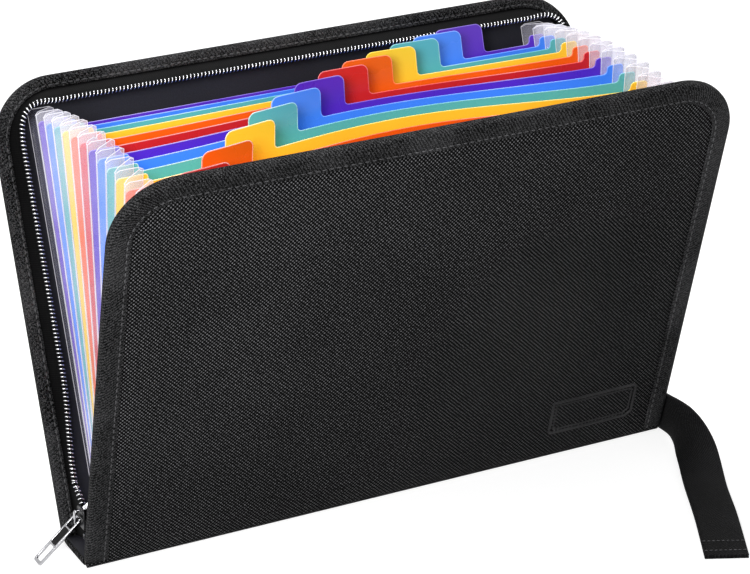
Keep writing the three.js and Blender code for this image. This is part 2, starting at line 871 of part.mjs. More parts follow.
function zipSlider() {
  const group = new THREE.Group();
  const body = named('zip_slider', slider(), material(steel, 0.25, 1));
  body.position.set(-chainX, 0, sliderHeight);
  const hanging = new THREE.Group();
  hanging.position.set(pivotX, 0, sliderHeight);
  hanging.rotation.y = Math.PI - pullAngle;
  hanging.add(
    named('zip_pull', pull(), material(steel, 0.25, 1)),
    named('zip_pull_insert', pullInsert(), material(new THREE.Color(0x18181a), 0.6)),
  );
  group.add(body, hanging);
  return group;
}

// The wrist strap: doubled webbing from the right end of the base. It stands on edge at its root,
// turns over outwards and lies flat on the floor in front.

const strapHalfThickness = strapPly + strapSlit / 2;
const strapRootX = width / 2 + clearance + strapHalfThickness;

// Places that the strap's lower edge passes: how far out from the root, how far back, and how many
// degrees the strap has turned over
const strapPlaces = [
  [0, 6, 0],
  [0, -14, 0],
  [0, -27, 3],
  [-3.6, -38.5, 20],
  [-13.6, -57.7, 56],
  [-20.8, -72, 78],
  [-29.6, -90.8, 90],
  [-45.2, -126, 90],
  [-65.8, -169, 90],
];
const strapLine = new THREE.CatmullRomCurve3(strapPlaces.map(([out, back, turned]) =>
  new THREE.Vector3(strapRootX + out, back, THREE.MathUtils.degToRad(turned))));

// The strap at one place along it: its lower edge, the direction across its width, the direction
// through its thickness
function strapFrame(share) {
  const { x, y, z: turned } = strapLine.getPoint(share);
  const along = strapLine.getTangent(share).setZ(0).normalize();
  const outward = new THREE.Vector3(-along.y, along.x, 0);
  const up = new THREE.Vector3(0, 0, 1);
  const [flat, upright] = [Math.sin(turned), Math.cos(turned)];
  const across = outward.clone().multiplyScalar(flat).addScaledVector(up, upright);
  const through = outward.clone().multiplyScalar(-upright).addScaledVector(up, flat);
  return { lowerEdge: new THREE.Vector3(x, y, strapHalfThickness * flat), across, through };
}

// Two plies with a slit between them, sewn together in the first and the last step
function wristStrap() {
  const seam = strapEndSeam / strapLine.getLength();
  const levels = [strapHalfThickness, strapSlit / 2, -strapSlit / 2, -strapHalfThickness];
  const slitLayer = 1;
  const positions = [];
  for (let step = 0; step <= strapSteps; step++) {
    const slitShare = (step - 1) / (strapSteps - 2);
    const share = slitShare < 0 ? 0 : slitShare > 1 ? 1 : seam + (1 - 2 * seam) * slitShare;
    const { lowerEdge, across, through } = strapFrame(share);
    for (const level of levels) {
      for (const width of [0, strapWidth]) {
        const point = lowerEdge.clone().addScaledVector(across, width).addScaledVector(through, level);
        positions.push(...point.toArray());
      }
    }
  }
  const isWebbing = (step, layer) => {
    if (step < 0 || step >= strapSteps || layer < 0 || layer + 1 >= levels.length) return false;
    return layer !== slitLayer || step === 0 || step === strapSteps - 1;
  };
  const corner = (step, level, edge) => (step * levels.length + level) * 2 + edge;
  const indices = [];
  const quad = (a, b, c, d) => indices.push(a, b, c, a, c, d);
  for (let i = 0; i < strapSteps; i++) {
    for (let j = 0; j + 1 < levels.length; j++) {
      if (!isWebbing(i, j)) continue;
      const [k, m] = [i + 1, j + 1];
      quad(corner(i, j, 0), corner(i, m, 0), corner(k, m, 0), corner(k, j, 0));
      quad(corner(i, j, 1), corner(k, j, 1), corner(k, m, 1), corner(i, m, 1));
      if (!isWebbing(i, j - 1)) quad(corner(i, j, 0), corner(k, j, 0), corner(k, j, 1), corner(i, j, 1));
      if (!isWebbing(i, m)) quad(corner(i, m, 0), corner(i, m, 1), corner(k, m, 1), corner(k, m, 0));
      if (!isWebbing(i - 1, j)) quad(corner(i, j, 0), corner(i, j, 1), corner(i, m, 1), corner(i, m, 0));
      if (!isWebbing(k, j)) quad(corner(k, j, 0), corner(k, m, 0), corner(k, m, 1), corner(k, j, 1));
    }
  }
  return named('wrist_strap', facingOut(positions, indices), material(bindingBlack, 0.8));
}

const documentHolder = new THREE.Group();
documentHolder.add(
  base(),
  cover('front', true),
  cover('back', false),
  accordion(),
  zipEnds(),
  zipSlider(),
  wristStrap(),
);

export default documentHolder;
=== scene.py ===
# %% [markdown]
# # A zip-round document file, dressed in Blender
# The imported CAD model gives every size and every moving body. This script builds the soft and
# detailed pieces around it: woven covers, bound edges, a coil zip, coloured pockets and a clear
# pleated side at each end. Each piece is drawn in millimetres, in the frame of the thing that
# carries it, and is then placed in the model's frame in metres.

import math

import bmesh
import bpy
import numpy as np
from mathutils import Matrix, Vector
from mathutils.geometry import delaunay_2d_cdt


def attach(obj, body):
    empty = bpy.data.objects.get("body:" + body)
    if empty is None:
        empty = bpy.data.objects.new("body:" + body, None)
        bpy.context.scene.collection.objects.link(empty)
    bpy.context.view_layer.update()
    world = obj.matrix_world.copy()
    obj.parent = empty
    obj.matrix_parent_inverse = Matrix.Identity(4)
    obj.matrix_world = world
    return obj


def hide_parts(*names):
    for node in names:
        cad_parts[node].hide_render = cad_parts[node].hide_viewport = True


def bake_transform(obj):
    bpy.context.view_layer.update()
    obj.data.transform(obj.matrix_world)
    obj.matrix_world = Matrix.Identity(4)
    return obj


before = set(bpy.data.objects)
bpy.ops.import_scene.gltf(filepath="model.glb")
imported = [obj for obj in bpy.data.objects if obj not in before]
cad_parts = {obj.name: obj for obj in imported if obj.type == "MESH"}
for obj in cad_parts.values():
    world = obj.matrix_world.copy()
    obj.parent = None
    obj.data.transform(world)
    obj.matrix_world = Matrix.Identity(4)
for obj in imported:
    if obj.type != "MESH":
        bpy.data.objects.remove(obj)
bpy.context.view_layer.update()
MM = 0.001

# %% [markdown]
# ## Sizes
# The covers hinge on two lines along X near the floor, and lean away from each other when the file
# stands open. The dividers stand between them like the ribs of a fan. These numbers repeat the ones
# that the CAD source was drawn with, so that every piece sits where its solid is.

# %% Sizes of the case, the zip and the accordion
WIDTH = 363
HALF = WIDTH / 2
HEIGHT = 255
CORNER = 36                  # radius of a cover's upper corners
HINGE_Y, HINGE_Z = 17, 2
COVER_TOP = HEIGHT - HINGE_Z
CENTRE_X, CENTRE_Z = HALF - CORNER, COVER_TOP - CORNER
LEAN = math.radians(17.5)
FACE = 2                     # a cover's faces, from its middle
EDGE = 1.1                   # the skin stops this far in from a cover's edge
SPINE_HALF = 14.6

DIVIDERS = 12
POCKETS = DIVIDERS + 1
ACCORDION = 30               # the accordion's depth at its foot
DIVIDER_Z = 6.8
DIVIDER_HALF = 160.2
SHEET_LEFT, SHEET_RIGHT = -DIVIDER_HALF, 152.8
MAIN_EDGE, EAR_EDGE, TAB_EDGE = 228, 238, 245
SHEET_EAR = EAR_EDGE - 5     # the coloured ears end below the clear film welded to them
NOTCH_X = 143                # where an ear begins
TAB_WIDTH = 30

CHAIN_X, CHAIN_INSET = 173.6, 7.9
TAPE_START = 29.7
ZIP_START = 33
SLIDER_Z = 22

hinge = Matrix.Translation(Vector((0, -HINGE_Y, HINGE_Z)) * MM) @ Matrix.Rotation(LEAN, 4, "X")
COVER_PLACES = {"front": hinge, "back": Matrix.Rotation(math.pi, 4, "Z") @ hinge}
print("covers lean", round(math.degrees(LEAN), 1), "degrees")


def smooth_step(value):
    """0 below 0, 1 above 1, and a soft S between."""
    value = np.clip(value, 0, 1)
    return value * value * (3 - 2 * value)


# %% [markdown]
# ## Making a piece
# Most pieces here are sheets and bands, so they are drawn as rows of points joined by quads. A
# Draft gathers points and faces, remembers which finish each face has, and becomes one mesh at the
# end, with its points in place and its object at the origin.

# %% Small helpers for points and meshes
def moved(points, place, shift=1):
    """Points moved by a place, or only turned by it where the shift is 0."""
    if place is None:
        return points
    turned = np.array(place)
    return points @ turned[:3, :3].T + shift * turned[:3, 3]


def distances(points):
    """The way along a row of points to each of them."""
    steps = np.linalg.norm(np.diff(np.array(points, float), axis=0), axis=1)
    return np.concatenate([[0], np.cumsum(steps)])


def row_faces(rows, count, ring=False):
    """Quads between rows of points, each of the same count. A ring's rows close on themselves."""
    return [
        (row + j, row + (j + 1) % count, row + count + (j + 1) % count, row + count + j)
        for row in range(0, (rows - 1) * count, count)
        for j in range(count if ring else count - 1)
    ]


def linked(name, data, *finishes):
    """A new object in the scene."""
    made = bpy.data.objects.new(name, data)
    bpy.context.scene.collection.objects.link(made)
    for finish in finishes:
        data.materials.append(finish)
    return made


def turn_outwards(mesh, weld=False):
    """Turns the faces of a closed mesh outwards, once points that lie together are welded."""
    working = bmesh.new()
    working.from_mesh(mesh)
    if weld:
        bmesh.ops.remove_doubles(working, verts=working.verts, dist=1e-6)
    bmesh.ops.recalc_face_normals(working, faces=working.faces)
    working.to_mesh(mesh)
    working.free()


def evaluated(thing):
    """The mesh of a piece or a curve as its modifiers leave it."""
    graph = bpy.context.evaluated_depsgraph_get()
    return bpy.data.meshes.new_from_object(thing.evaluated_get(graph))


def finished(piece, sharp=None):
    """The piece with no modifier left. Edges over an angle in degrees turn sharp."""
    mesh = evaluated(piece)
    piece.modifiers.clear()
    piece.data = mesh
    if sharp is not None:
        mesh.set_sharp_from_angle(angle=math.radians(sharp))
    return piece


# %% A draft that grows into a piece
class Draft:
    """Points in millimetres and the faces on them. Each face keeps the number of its finish."""

    def __init__(self):
        self.points, self.cloth, self.faces, self.finishes = [], [], [], []

    def add(self, points, faces, finish=0, cloth=None):
        first = len(self.points)
        self.points += [tuple(point) for point in points]
        self.cloth += [(0, 0)] * len(points) if cloth is None else [tuple(spot) for spot in cloth]
        self.faces += [tuple(first + corner for corner in face) for face in faces]
        self.finishes += [finish] * len(faces)
        return self

    def rows(self, points, count, ring=False, finish=0, cloth=None):
        """Rows of points joined by quads. Where they are rings, the first and the last are capped."""
        faces = row_faces(len(points) // count, count, ring)
        if ring:
            faces += [tuple(range(count)), tuple(range(len(points) - count, len(points)))]
        return self.add(points, faces, finish, cloth)

    def bead(self, path, radius, sides=5, finish=0):
        """A round bead along a path, closed at its ends."""
        path = np.array(path, float)
        along = np.gradient(path, axis=0)
        along /= np.linalg.norm(along, axis=1)[:, None]
        side = np.cross(along, (0, 0, 1)) + np.cross(along, (0, 1, 0)) * 0.01
        side /= np.linalg.norm(side, axis=1)[:, None]
        up = np.cross(side, along)
        turns = np.arange(sides) * 2 * math.pi / sides
        points = [
            spot + radius * (math.cos(turn) * a + math.sin(turn) * b)
            for spot, a, b in zip(path, side, up)
            for turn in turns
        ]
        return self.rows(points, sides, ring=True, finish=finish)

    def piece(self, name, *finishes, place=None, closed=True):
        mesh = bpy.data.meshes.new(name)
        mesh.from_pydata(moved(np.array(self.points, float) * MM, place).tolist(), [], self.faces)
        mesh.polygons.foreach_set("material_index", self.finishes)
        corners = np.empty(len(mesh.loops), int)
        mesh.loops.foreach_get("vertex_index", corners)
        layer = mesh.uv_layers.new(name="cloth")
        layer.data.foreach_set("uv", (np.array(self.cloth, float) * MM)[corners].ravel())
        if closed:
            turn_outwards(mesh)
        mesh.shade_smooth()
        return linked(name, mesh, *finishes)

    def sheet(self, name, thickness, finish, place=None, offset=0.0, sharp=None):
        """The draft as one thin sheet of a thickness in millimetres."""
        piece = self.piece(name, finish, closed=False)
        if place is not None:
            piece.data.transform(place)
        solid = piece.modifiers.new("thickness", "SOLIDIFY")
        solid.thickness = thickness * MM
        solid.offset = offset
        solid.use_even_offset = False
        return finished(piece, sharp)


def belongs(piece, slot, body=None, *nodes):
    """Attaches a piece to the body that carries it and hides the solids that it stands for. The slot that it
    fills is not used.
    """
    if nodes:
        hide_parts(*nodes)
    if body:
        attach(piece, body)
    return piece


# %% [markdown]
# ## Wiring materials
# Every finish is a node tree. A few short helpers keep the wiring readable: each adds one node and
# joins it to what comes before. Effects that several finishes share, such as the weave and the ribs
# of a woven band, are node groups built once.

# %% Helpers for node trees
class Wiring:
    """A node tree, with short ways to add nodes to it."""

    def __init__(self, tree):
        self.tree = tree

    def feed(self, socket, value):
        """Joins a socket to another socket or to a node's first output, or sets its value."""
        if isinstance(value, bpy.types.Node):
            value = value.outputs[0]
        if isinstance(value, bpy.types.NodeSocket):
            self.tree.links.new(value, socket)
        else:
            socket.default_value = value

    def node(self, kind, inputs=None, **settings):
        made = self.tree.nodes.new(kind)
        for name, value in settings.items():
            setattr(made, name, value)
        for label, value in (inputs or {}).items():
            self.feed(made.inputs[label], value)
        return made

    def math(self, operation, *values):
        return self.node("ShaderNodeMath", dict(enumerate(values)), operation=operation)

    def plus(self, first, second):
        return self.math("ADD", first, second)

    def minus(self, first, second):
        return self.math("SUBTRACT", first, second)

    def times(self, first, second):
        return self.math("MULTIPLY", first, second)

    def ramp(self, value, low, high, to_low=0.0, to_high=1.0):
        """A value brought from one range to another with a soft start and end."""
        limits = {"From Min": low, "From Max": high, "To Min": to_low, "To Max": to_high}
        return self.node("ShaderNodeMapRange", {"Value": value, **limits}, interpolation_type="SMOOTHSTEP")

    def noise(self, vector, scale, detail=2.0):
        made = self.node("ShaderNodeTexNoise", {"Vector": vector, "Scale": scale, "Detail": detail})
        return made.outputs["Fac"]

    def blend(self, share, first, second):
        """A colour between two."""
        made = self.node("ShaderNodeMix", data_type="RGBA")
        for label, value in (("Factor", share), ("A", first), ("B", second)):
            self.feed(made.inputs[label], value)
        return made.outputs["Result"]

    def split(self, vector):
        return self.node("ShaderNodeSeparateXYZ", {0: vector}).outputs

    def joined(self, x, y, z):
        return self.node("ShaderNodeCombineXYZ", {"X": x, "Y": y, "Z": z})

    def group(self, made, **values):
        return self.node("ShaderNodeGroup", values, node_tree=made.tree).outputs

    def background(self):
        """1 for the rays that show the background: seen, mirrored or through clear film."""
        rays = self.node("ShaderNodeLightPath").outputs
        indirect = self.math("MAXIMUM", rays["Is Glossy Ray"], rays["Is Transmission Ray"])
        return self.math("MAXIMUM", rays["Is Camera Ray"], indirect)


def new_group(name, kind, inputs, outputs):
    """A node group. Each socket has its default number, or else the word for its kind."""
    made = Wiring(bpy.data.node_groups.new(name, kind))
    for way, sockets in (("INPUT", inputs), ("OUTPUT", outputs)):
        for label, given in sockets.items():
            word = given if isinstance(given, str) else "Float"
            socket = made.tree.interface.new_socket(label, in_out=way, socket_type=f"NodeSocket{word}")
            if given != word:
                socket.default_value = given
    made.given = made.tree.nodes.new("NodeGroupInput").outputs
    made.result = made.tree.nodes.new("NodeGroupOutput").inputs
    return made


# %% [markdown]
# ## The weave
# The cover cloth is a coarse woven nylon. Each thread shows as a small raised oval, and each row of
# ovals is shifted by half a step from the row below, so they also line up on the diagonals. Two
# cosine waves multiplied give just that lattice. A little noise keeps the rows from looking printed.

# %% A group for the staggered weave
weave = new_group("staggered weave", "ShaderNodeTree",
                  {"Cloth": "Vector", "Step": 1.0, "Row": 0.6, "Unevenness": 0.3}, {"Crown": "Float"})
flat_cloth = weave.given["Cloth"]
waver = weave.times(weave.minus(weave.noise(flat_cloth, 420.0), 0.5), weave.given["Unevenness"])
waves = []
for way, step in zip(weave.split(flat_cloth), ("Step", "Row")):
    turn = weave.math("DIVIDE", weave.times(way, math.pi / MM), weave.given[step])
    waves.append(weave.math("COSINE", weave.plus(turn, waver)))
thread_by_thread = weave.ramp(weave.noise(flat_cloth, 650.0, 1.0), 0.3, 0.7, 0.35, 1.4)
crown = weave.times(weave.ramp(weave.times(*waves), 0.0, 0.8), thread_by_thread)
weave.feed(weave.result["Crown"], crown)

# %% [markdown]
# ## Ribs and fuzz
# Binding tape and strap are woven bands: fine ribs run across them, and loose fibres roughen the
# ribs. The group gives the rib height and a finer value for the fibres.

# %% A group for the ribs of a woven band
ribs = new_group("band ribs", "ShaderNodeTree", {"Cloth": "Vector", "Pitch": 1.0, "Slant": 0.0, "Fuzz": 0.4},
                 {"Rib": "Float", "Fibre": "Float"})
flat_cloth = ribs.given["Cloth"]
u, v, _ = ribs.split(flat_cloth)
slanted = ribs.plus(u, ribs.times(v, ribs.given["Slant"]))
turn = ribs.math("DIVIDE", ribs.times(slanted, 2 * math.pi / MM), ribs.given["Pitch"])
fuzz = ribs.times(ribs.minus(ribs.noise(flat_cloth, 900.0, 3.0), 0.5), ribs.times(ribs.given["Fuzz"], 8.0))
ribs.feed(ribs.result["Rib"], ribs.ramp(ribs.math("SINE", ribs.plus(turn, fuzz)), -1.0, 1.0))
ribs.feed(ribs.result["Fibre"], ribs.ramp(ribs.noise(flat_cloth, 1500.0, 4.0), 0.35, 0.7))

# %% A group for handling marks, used by most finishes
marks = new_group("handling marks", "ShaderNodeTree", {"Place": "Vector", "Size": 12.0, "Depth": 0.5},
                  {"Mark": "Float"})
cloud = marks.ramp(marks.noise(marks.given["Place"], marks.given["Size"], 4.0), 0.3, 0.7)
marks.feed(marks.result["Mark"], marks.times(marks.minus(cloud, 0.5), marks.given["Depth"]))


# %% A base for every material
class Finish(Wiring):
    """A material, its Principled shader and the coordinates that its patterns read."""

    def __init__(self, name, **values):
        self.material = bpy.data.materials.new(name)
        self.material.use_nodes = True
        super().__init__(self.material.node_tree)
        self.shader = self.tree.nodes["Principled BSDF"]
        self.place = self.node("ShaderNodeTexCoord").outputs["Object"]
        self.cloth = self.node("ShaderNodeUVMap", uv_map="cloth").outputs["UV"]
        self.set(**values)

    def set(self, **values):
        """Feeds the shader's inputs, named with _ for a space."""
        for label, value in values.items():
            self.feed(self.shader.inputs[label.replace("_", " ")], value)

    def tint(self, share, first, second):
        self.set(Base_Color=self.blend(share, first, second))

    def bump(self, height, distance):
        """Relief, with its depth in millimetres."""
        made = self.node("ShaderNodeBump", {"Strength": 1.0, "Distance": distance * MM, "Height": height})
        self.set(Normal=made)

    def mark(self, size, depth):
        return self.group(marks, Place=self.place, Size=size, Depth=depth)["Mark"]


def grey(level):
    return (level, level, level * 1.04, 1)


def shade(colour, share=1.0, white=0.0):
    """A share of a colour, with some white added."""
    return tuple(white + share * part for part in colour) + (1,)


# %% [markdown]
# ## Cover cloth
# The threads' crowns catch the light and their gaps stay nearly black, so colour, roughness and relief all
# follow the same lattice. The weave is the cloth's own, and the crowns' lighter colour is also a painted
# highlight. The threads are a little paler or darker in patches. Low on the front's right side the crowns are
# painted darker: painted shade, where less light falls.

# %% The cover cloth
def cover_cloth(name, contrast, painted_shade=0.0):
    finish = Finish(name, Specular_IOR_Level=0.04)
    crown = finish.group(weave, Cloth=finish.cloth, Step=1.15, Row=1.2, Unevenness=1.7)["Crown"]
    # The crowns' lighter colour: the weave's own pattern, and also a painted highlight.
    weave_and_highlight = finish.times(crown, finish.plus(contrast, finish.mark(9.0, 0.35)))
    # Painted shade: towards the front's lower right the crowns are painted darker.
    across, up, _ = finish.split(finish.cloth)
    corner = finish.ramp(finish.minus(across, up), -0.25, 0.12, 0.0, painted_shade)
    finish.tint(finish.times(weave_and_highlight, finish.minus(1.0, corner)), grey(0.001), grey(0.19))
    finish.set(Roughness=finish.ramp(crown, 0.0, 1.0, 0.8, 0.45))
    finish.bump(crown, 0.3)
    return finish.material


front_cloth = cover_cloth("front cloth", 0.9, painted_shade=0.45)
back_cloth = cover_cloth("back cloth", 0.6)


# %% [markdown]
# ## Binding, tapes and lining
# The binding outside is a smooth fine band. Inside the case the same band looks coarser and fuzzy,
# because light rakes over it. The zip tape is a flat satin weave, and the lining is a smooth
# charcoal cloth.

# %% Band finishes
def band(name, pitch, dark, light, slant, fuzz, depth, roughness):
    finish = Finish(name, Roughness=roughness, Specular_IOR_Level=0.05)
    out = finish.group(ribs, Cloth=finish.cloth, Pitch=pitch, Slant=slant, Fuzz=fuzz)
    level = finish.plus(finish.times(out["Rib"], finish.plus(0.15, out["Fibre"])), finish.mark(20.0, 0.3))
    finish.tint(level, grey(dark), grey(light))
    finish.bump(level, depth)
    return finish.material


binding_smooth = band("binding band", 1.9, 0.001, 0.092, slant=0.6, fuzz=1.6, depth=0.2, roughness=0.7)
binding_coarse = band("binding band inside", 2.4, 0.001, 0.105, slant=0.6, fuzz=2.4, depth=0.25,
                      roughness=0.85)
tape_cloth = band("zip tape", 1.2, 0.0015, 0.008, slant=0.0, fuzz=0.4, depth=0.05, roughness=0.6)
strap_cloth = band("strap webbing", 1.8, 0.004, 0.024, slant=0.9, fuzz=0.5, depth=0.18, roughness=0.65)
thread = band("sewing thread", 0.5, 0.05, 0.2, slant=0.5, fuzz=0.1, depth=0.08, roughness=0.5)


# %% Plain finishes with a fine grain
def grained(name, dark, light, grain, depth, mark=None, **values):
    """A finish between two colours by a grain, given as its scale and detail, and its marks."""
    finish = Finish(name, **values)
    level = finish.noise(finish.place, *grain)
    finish.tint(finish.plus(level, finish.mark(*mark)) if mark else level, dark, light)
    finish.bump(level, depth)
    return finish.material


lining_cloth = grained("lining", (0.011, 0.011, 0.014, 1), (0.026, 0.026, 0.034, 1), (1600.0, 3.0), 0.06,
                       mark=(10.0, 0.5), Roughness=0.55, Specular_IOR_Level=0.15)
insert_rubber = grained("pull insert", grey(0.002), grey(0.009), (2500.0,), 0.04,
                        Roughness=0.5, Specular_IOR_Level=0.1)
grey_board = grained("grey board", (0.11, 0.10, 0.09, 1), (0.2, 0.19, 0.17, 1), (700.0, 5.0), 0.1,
                     Roughness=0.9)
pressed_cloth = grained("pressed cloth", grey(0.006), grey(0.045), (1100.0, 3.0), 0.1, mark=(30.0, 0.4),
                        Roughness=0.5, Specular_IOR_Level=0.12)

# %% [markdown]
# ## Metal
# The coil and the pull are bright nickel, and the slider is a dark one. Real plating is never quite
# even, so its tone and its roughness drift together.

# %% Metal finishes
def bright_metal(name, level, roughness):
    metal = Finish(name, Metallic=1.0)
    mark = metal.mark(300.0, 0.3)
    metal.tint(metal.plus(0.6, mark), grey(level * 0.6), grey(level))
    metal.set(Roughness=metal.plus(roughness, metal.times(mark, 0.3)))
    metal.bump(metal.noise(metal.place, 900.0), 0.02)
    return metal.material


coil_metal = bright_metal("coil metal", 0.86, 0.22)
slider_metal = bright_metal("slider metal", 0.05, 0.3)
pull_metal = bright_metal("pull metal", 0.5, 0.14)

# %% [markdown]
# ## Coloured and clear film
# The dividers are dyed polypropylene: smooth, glossy and a little translucent, so that light comes through
# them, most of all at a cut edge. That glow is painted on as emission, and the cut edges are painted whiter
# and glow more, as a painted highlight. The sides are the same film without dye. It is milky and it shows the
# colours behind it. Its folds and cut edges are bright with a stronger painted glow, and its left side has a
# lit copy of the film, denser and with more painted glow, because the light comes from there.

# %% Film finishes
COLOURS = {
    "red": (0.68, 0.02, 0.016),
    "orange": (0.86, 0.13, 0.006),
    "yellow": (0.9, 0.65, 0.035),
    "teal": (0.08, 0.42, 0.52),
    "blue": (0.06, 0.24, 0.92),
    "purple": (0.10, 0.022, 0.47),
}


def dyed_film(name, glow, level, dark, light):
    """Dyed film that drifts between two tones around a level, and glows by a painted emission."""
    film = Finish(name, Specular_IOR_Level=0.45, Emission_Strength=glow)
    tint = film.blend(film.plus(level, film.mark(7.0, 0.8)), dark, light)
    film.set(Base_Color=tint, Emission_Color=tint,
             Roughness=film.ramp(film.noise(film.place, 45.0), 0.3, 0.7, 0.24, 0.36))
    film.bump(film.noise(film.place, 30.0), 0.25)
    return film.material


def clear_film(name, colour, alpha, glow=0.0, beyond=0.0):
    """Film without dye. "beyond" is how much denser it looks past the ends of the coloured sheets."""
    film = Finish(name, Roughness=0.25, Specular_IOR_Level=0.5, Emission_Strength=glow,
                  Emission_Color=shade(colour))
    streak = film.noise(film.place, 18.0, 3.0)
    film.tint(streak, shade(colour, 0.9), shade(colour))
    density = film.ramp(streak, 0.3, 0.7, alpha - 0.05, alpha + 0.05)
    sheets_end = SHEET_RIGHT * MM
    past = film.ramp(film.split(film.place)["X"], sheets_end - 0.4 * MM, sheets_end + 0.4 * MM, 0.0, beyond)
    film.set(Alpha=film.plus(density, past))
    film.bump(streak, 0.3)
    return film.material


film_faces, edge_highlight_films = {}, {}
for name, colour in COLOURS.items():
    # The faces glow a little, and the cut edges glow more and are whiter: painted glow, and a painted
    # highlight on the edges.
    deep, plain, highlight_tint = shade(colour, 0.8), shade(colour), shade(colour, 0.55, 0.45)
    film_faces[name] = dyed_film(f"{name} film", 0.19, 0.6, deep, plain)
    edge_highlight_films[name] = dyed_film(f"{name} film edge", 0.3, 0.45, plain, highlight_tint)
FILM_TINT = (0.86, 0.84, 0.93)
# Painted light: the left copies are denser and glow more than the right ones, as the light comes from the
# left.
panel_films = (clear_film("clear panel film left", FILM_TINT, 0.13, 0.3),
               clear_film("clear panel film right", FILM_TINT, 0.1, 0.13, 0.3))
fold_films = (clear_film("clear fold film left", FILM_TINT, 0.22, 0.3),
              clear_film("clear fold film right", FILM_TINT, 0.14, 0.13, 0.2))
smoky_films = (clear_film("smoky film left", (0.2, 0.2, 0.25), 0.3),) * 2
# The folds and cut tops glow brighter still: a painted highlight.
fold_highlight = clear_film("clear fold line", (0.84, 0.83, 0.88), 0.5, 0.35)
print("materials:", len(bpy.data.materials))

# %% [markdown]
# ## The cover skins
# A cover is a board wrapped in woven cloth over a thin foam layer. The cloth lies low beside the
# binding, rises over the foam and then stays flat, and it rolls under at the foot where the cover
# meets the base. One grid of points follows the outline: rows are level, and each row's width
# follows the rounded corners. The weave reads the flat cloth's own coordinates.

# %% Shape of a cover skin
FOAM_START, FOAM_RUN = 10.5, 9   # the foam begins this far in from the edge, and rises over this
SKIN, LINING = 0.7, 0.5          # thickness of the two cloths


def skin_rows(step):
    """Heights of the grid's rows, closer together round the corners."""
    flat = np.linspace(0, CENTRE_Z, round(CENTRE_Z / step) + 1)
    turns = np.linspace(0, math.pi / 2, round(CORNER * 1.5 / step) + 1)[1:]
    return np.concatenate([flat, CENTRE_Z + (CORNER - EDGE) * np.sin(turns)])


def half_width(z):
    """Half a cover's width at a height, less the edge."""
    rise = np.maximum(z - CENTRE_Z, 0)
    return CENTRE_X + np.sqrt(np.maximum((CORNER - EDGE)**2 - rise**2, 0))


def from_edge(x, z):
    """The distance in from a cover's edge, round its corners too."""
    x = np.abs(x)
    corner_x, corner_z = x - CENTRE_X, z - CENTRE_Z
    in_corner = (corner_x > 0) & (corner_z > 0)
    return np.where(in_corner, CORNER - np.hypot(corner_x, corner_z), np.minimum(HALF - x, COVER_TOP - z))


def foam_rise(x, z):
    """How far the foam lifts the cloth, with a slow drift over the cover."""
    swell = smooth_step((from_edge(x, z) - FOAM_START) / FOAM_RUN) * smooth_step((z + 2) / 14)
    drift = 0.18 * np.sin(x / 41 + 0.7) * np.sin(z / 33 + 1.1) + 0.1 * np.sin(x / 17 + z / 23)
    return swell * (0.95 + drift)


def skin_depth(x, z):
    return -FACE - foam_rise(x, z)


def lining_depth(x, z):
    return FACE - 0.35 + 0.12 * np.sin(x / 29 + z / 47) * smooth_step((from_edge(x, z) - 10) / 20)


def cover_grid(heights, step, depth, hem=()):
    """A draft of level rows over a cover, after the rows of its hem. "depth" gives a point's Y."""
    columns = np.linspace(-1, 1, round(WIDTH / step) + 1)
    points = [(column * (HALF - EDGE), y, z) for y, z in hem for column in columns]
    cloth = [(point[0], i // len(columns) - len(hem)) for i, point in enumerate(points)]
    for height in heights:
        x = columns * half_width(height)
        z = np.full_like(x, height)
        points += zip(x, depth(x, z), z)
        cloth += zip(x, z)
    return Draft().rows(points, len(columns), cloth=cloth)


# %% Make both skins
rolled_hem = [(FACE, 1.6), (FACE, 0.8)]
rolled_hem += [(-FACE * math.cos(turn), -FACE * math.sin(turn)) for turn in np.linspace(math.pi, 0, 9)[:-1]]
SKIN_STEP = 2.0
for side, cloth in (("front", front_cloth), ("back", back_cloth)):
    draft = cover_grid(skin_rows(SKIN_STEP), SKIN_STEP, skin_depth, rolled_hem)
    skin = draft.sheet(f"{side}_cover_cloth", SKIN, cloth, COVER_PLACES[side], offset=-1.0)
    belongs(skin, "fabric", f"{side}_cover", f"{side}_cover_fabric")
    print(skin.name, "points:", len(skin.data.vertices))

# %% [markdown]
# ## Linings
# Inside each cover a smooth cloth is glued to the board. It is taut, with the faint waves of any
# glued cloth. The same rows make it, further apart.

# %% Make both linings
LINING_STEP = 7.0
rows = skin_rows(LINING_STEP)[1:]
rows = np.concatenate([[2.2], rows[rows > 4]])
for side in ("front", "back"):
    draft = cover_grid(rows, LINING_STEP, lining_depth)
    lining = draft.sheet(f"{side}_lining_cloth", LINING, lining_cloth, COVER_PLACES[side])
    belongs(lining, "lining", f"{side}_cover", f"{side}_cover_lining")

# %% [markdown]
# ## Running round an edge
# Binding, tape and teeth all run up a cover's left edge, over its top and down its right edge. One
# list of stations along that edge serves them all: each has a place, the direction into the cover
# and the distance so far.

# %% Stations along a cover's edge
STATION_STEP = 5.0
CORNER_STATIONS = 21


def edge_stations(start):
    """Rows of X, Z and the direction into the cover in X and Z, and the way so far."""
    rise = np.linspace(start, CENTRE_Z, round((CENTRE_Z - start) / STATION_STEP) + 1)
    across = np.linspace(-CENTRE_X, CENTRE_X, round(2 * CENTRE_X / STATION_STEP) + 1)[1:-1]
    spots = [(-HALF, z, 1, 0) for z in rise[:-1]]
    for side, first in ((-1, math.pi), (1, math.pi / 2)):
        for turn in np.linspace(first, first - math.pi / 2, CORNER_STATIONS):
            out_x, out_z = math.cos(turn), math.sin(turn)
            spots.append((side * CENTRE_X + CORNER * out_x, CENTRE_Z + CORNER * out_z, -out_x, -out_z))
        if side < 0:
            spots += [(x, COVER_TOP, 0, -1) for x in across]
    spots += [(HALF, z, -1, 0) for z in rise[-2::-1]]
    spots = np.array(spots)
    return spots, distances(spots[:, :2])


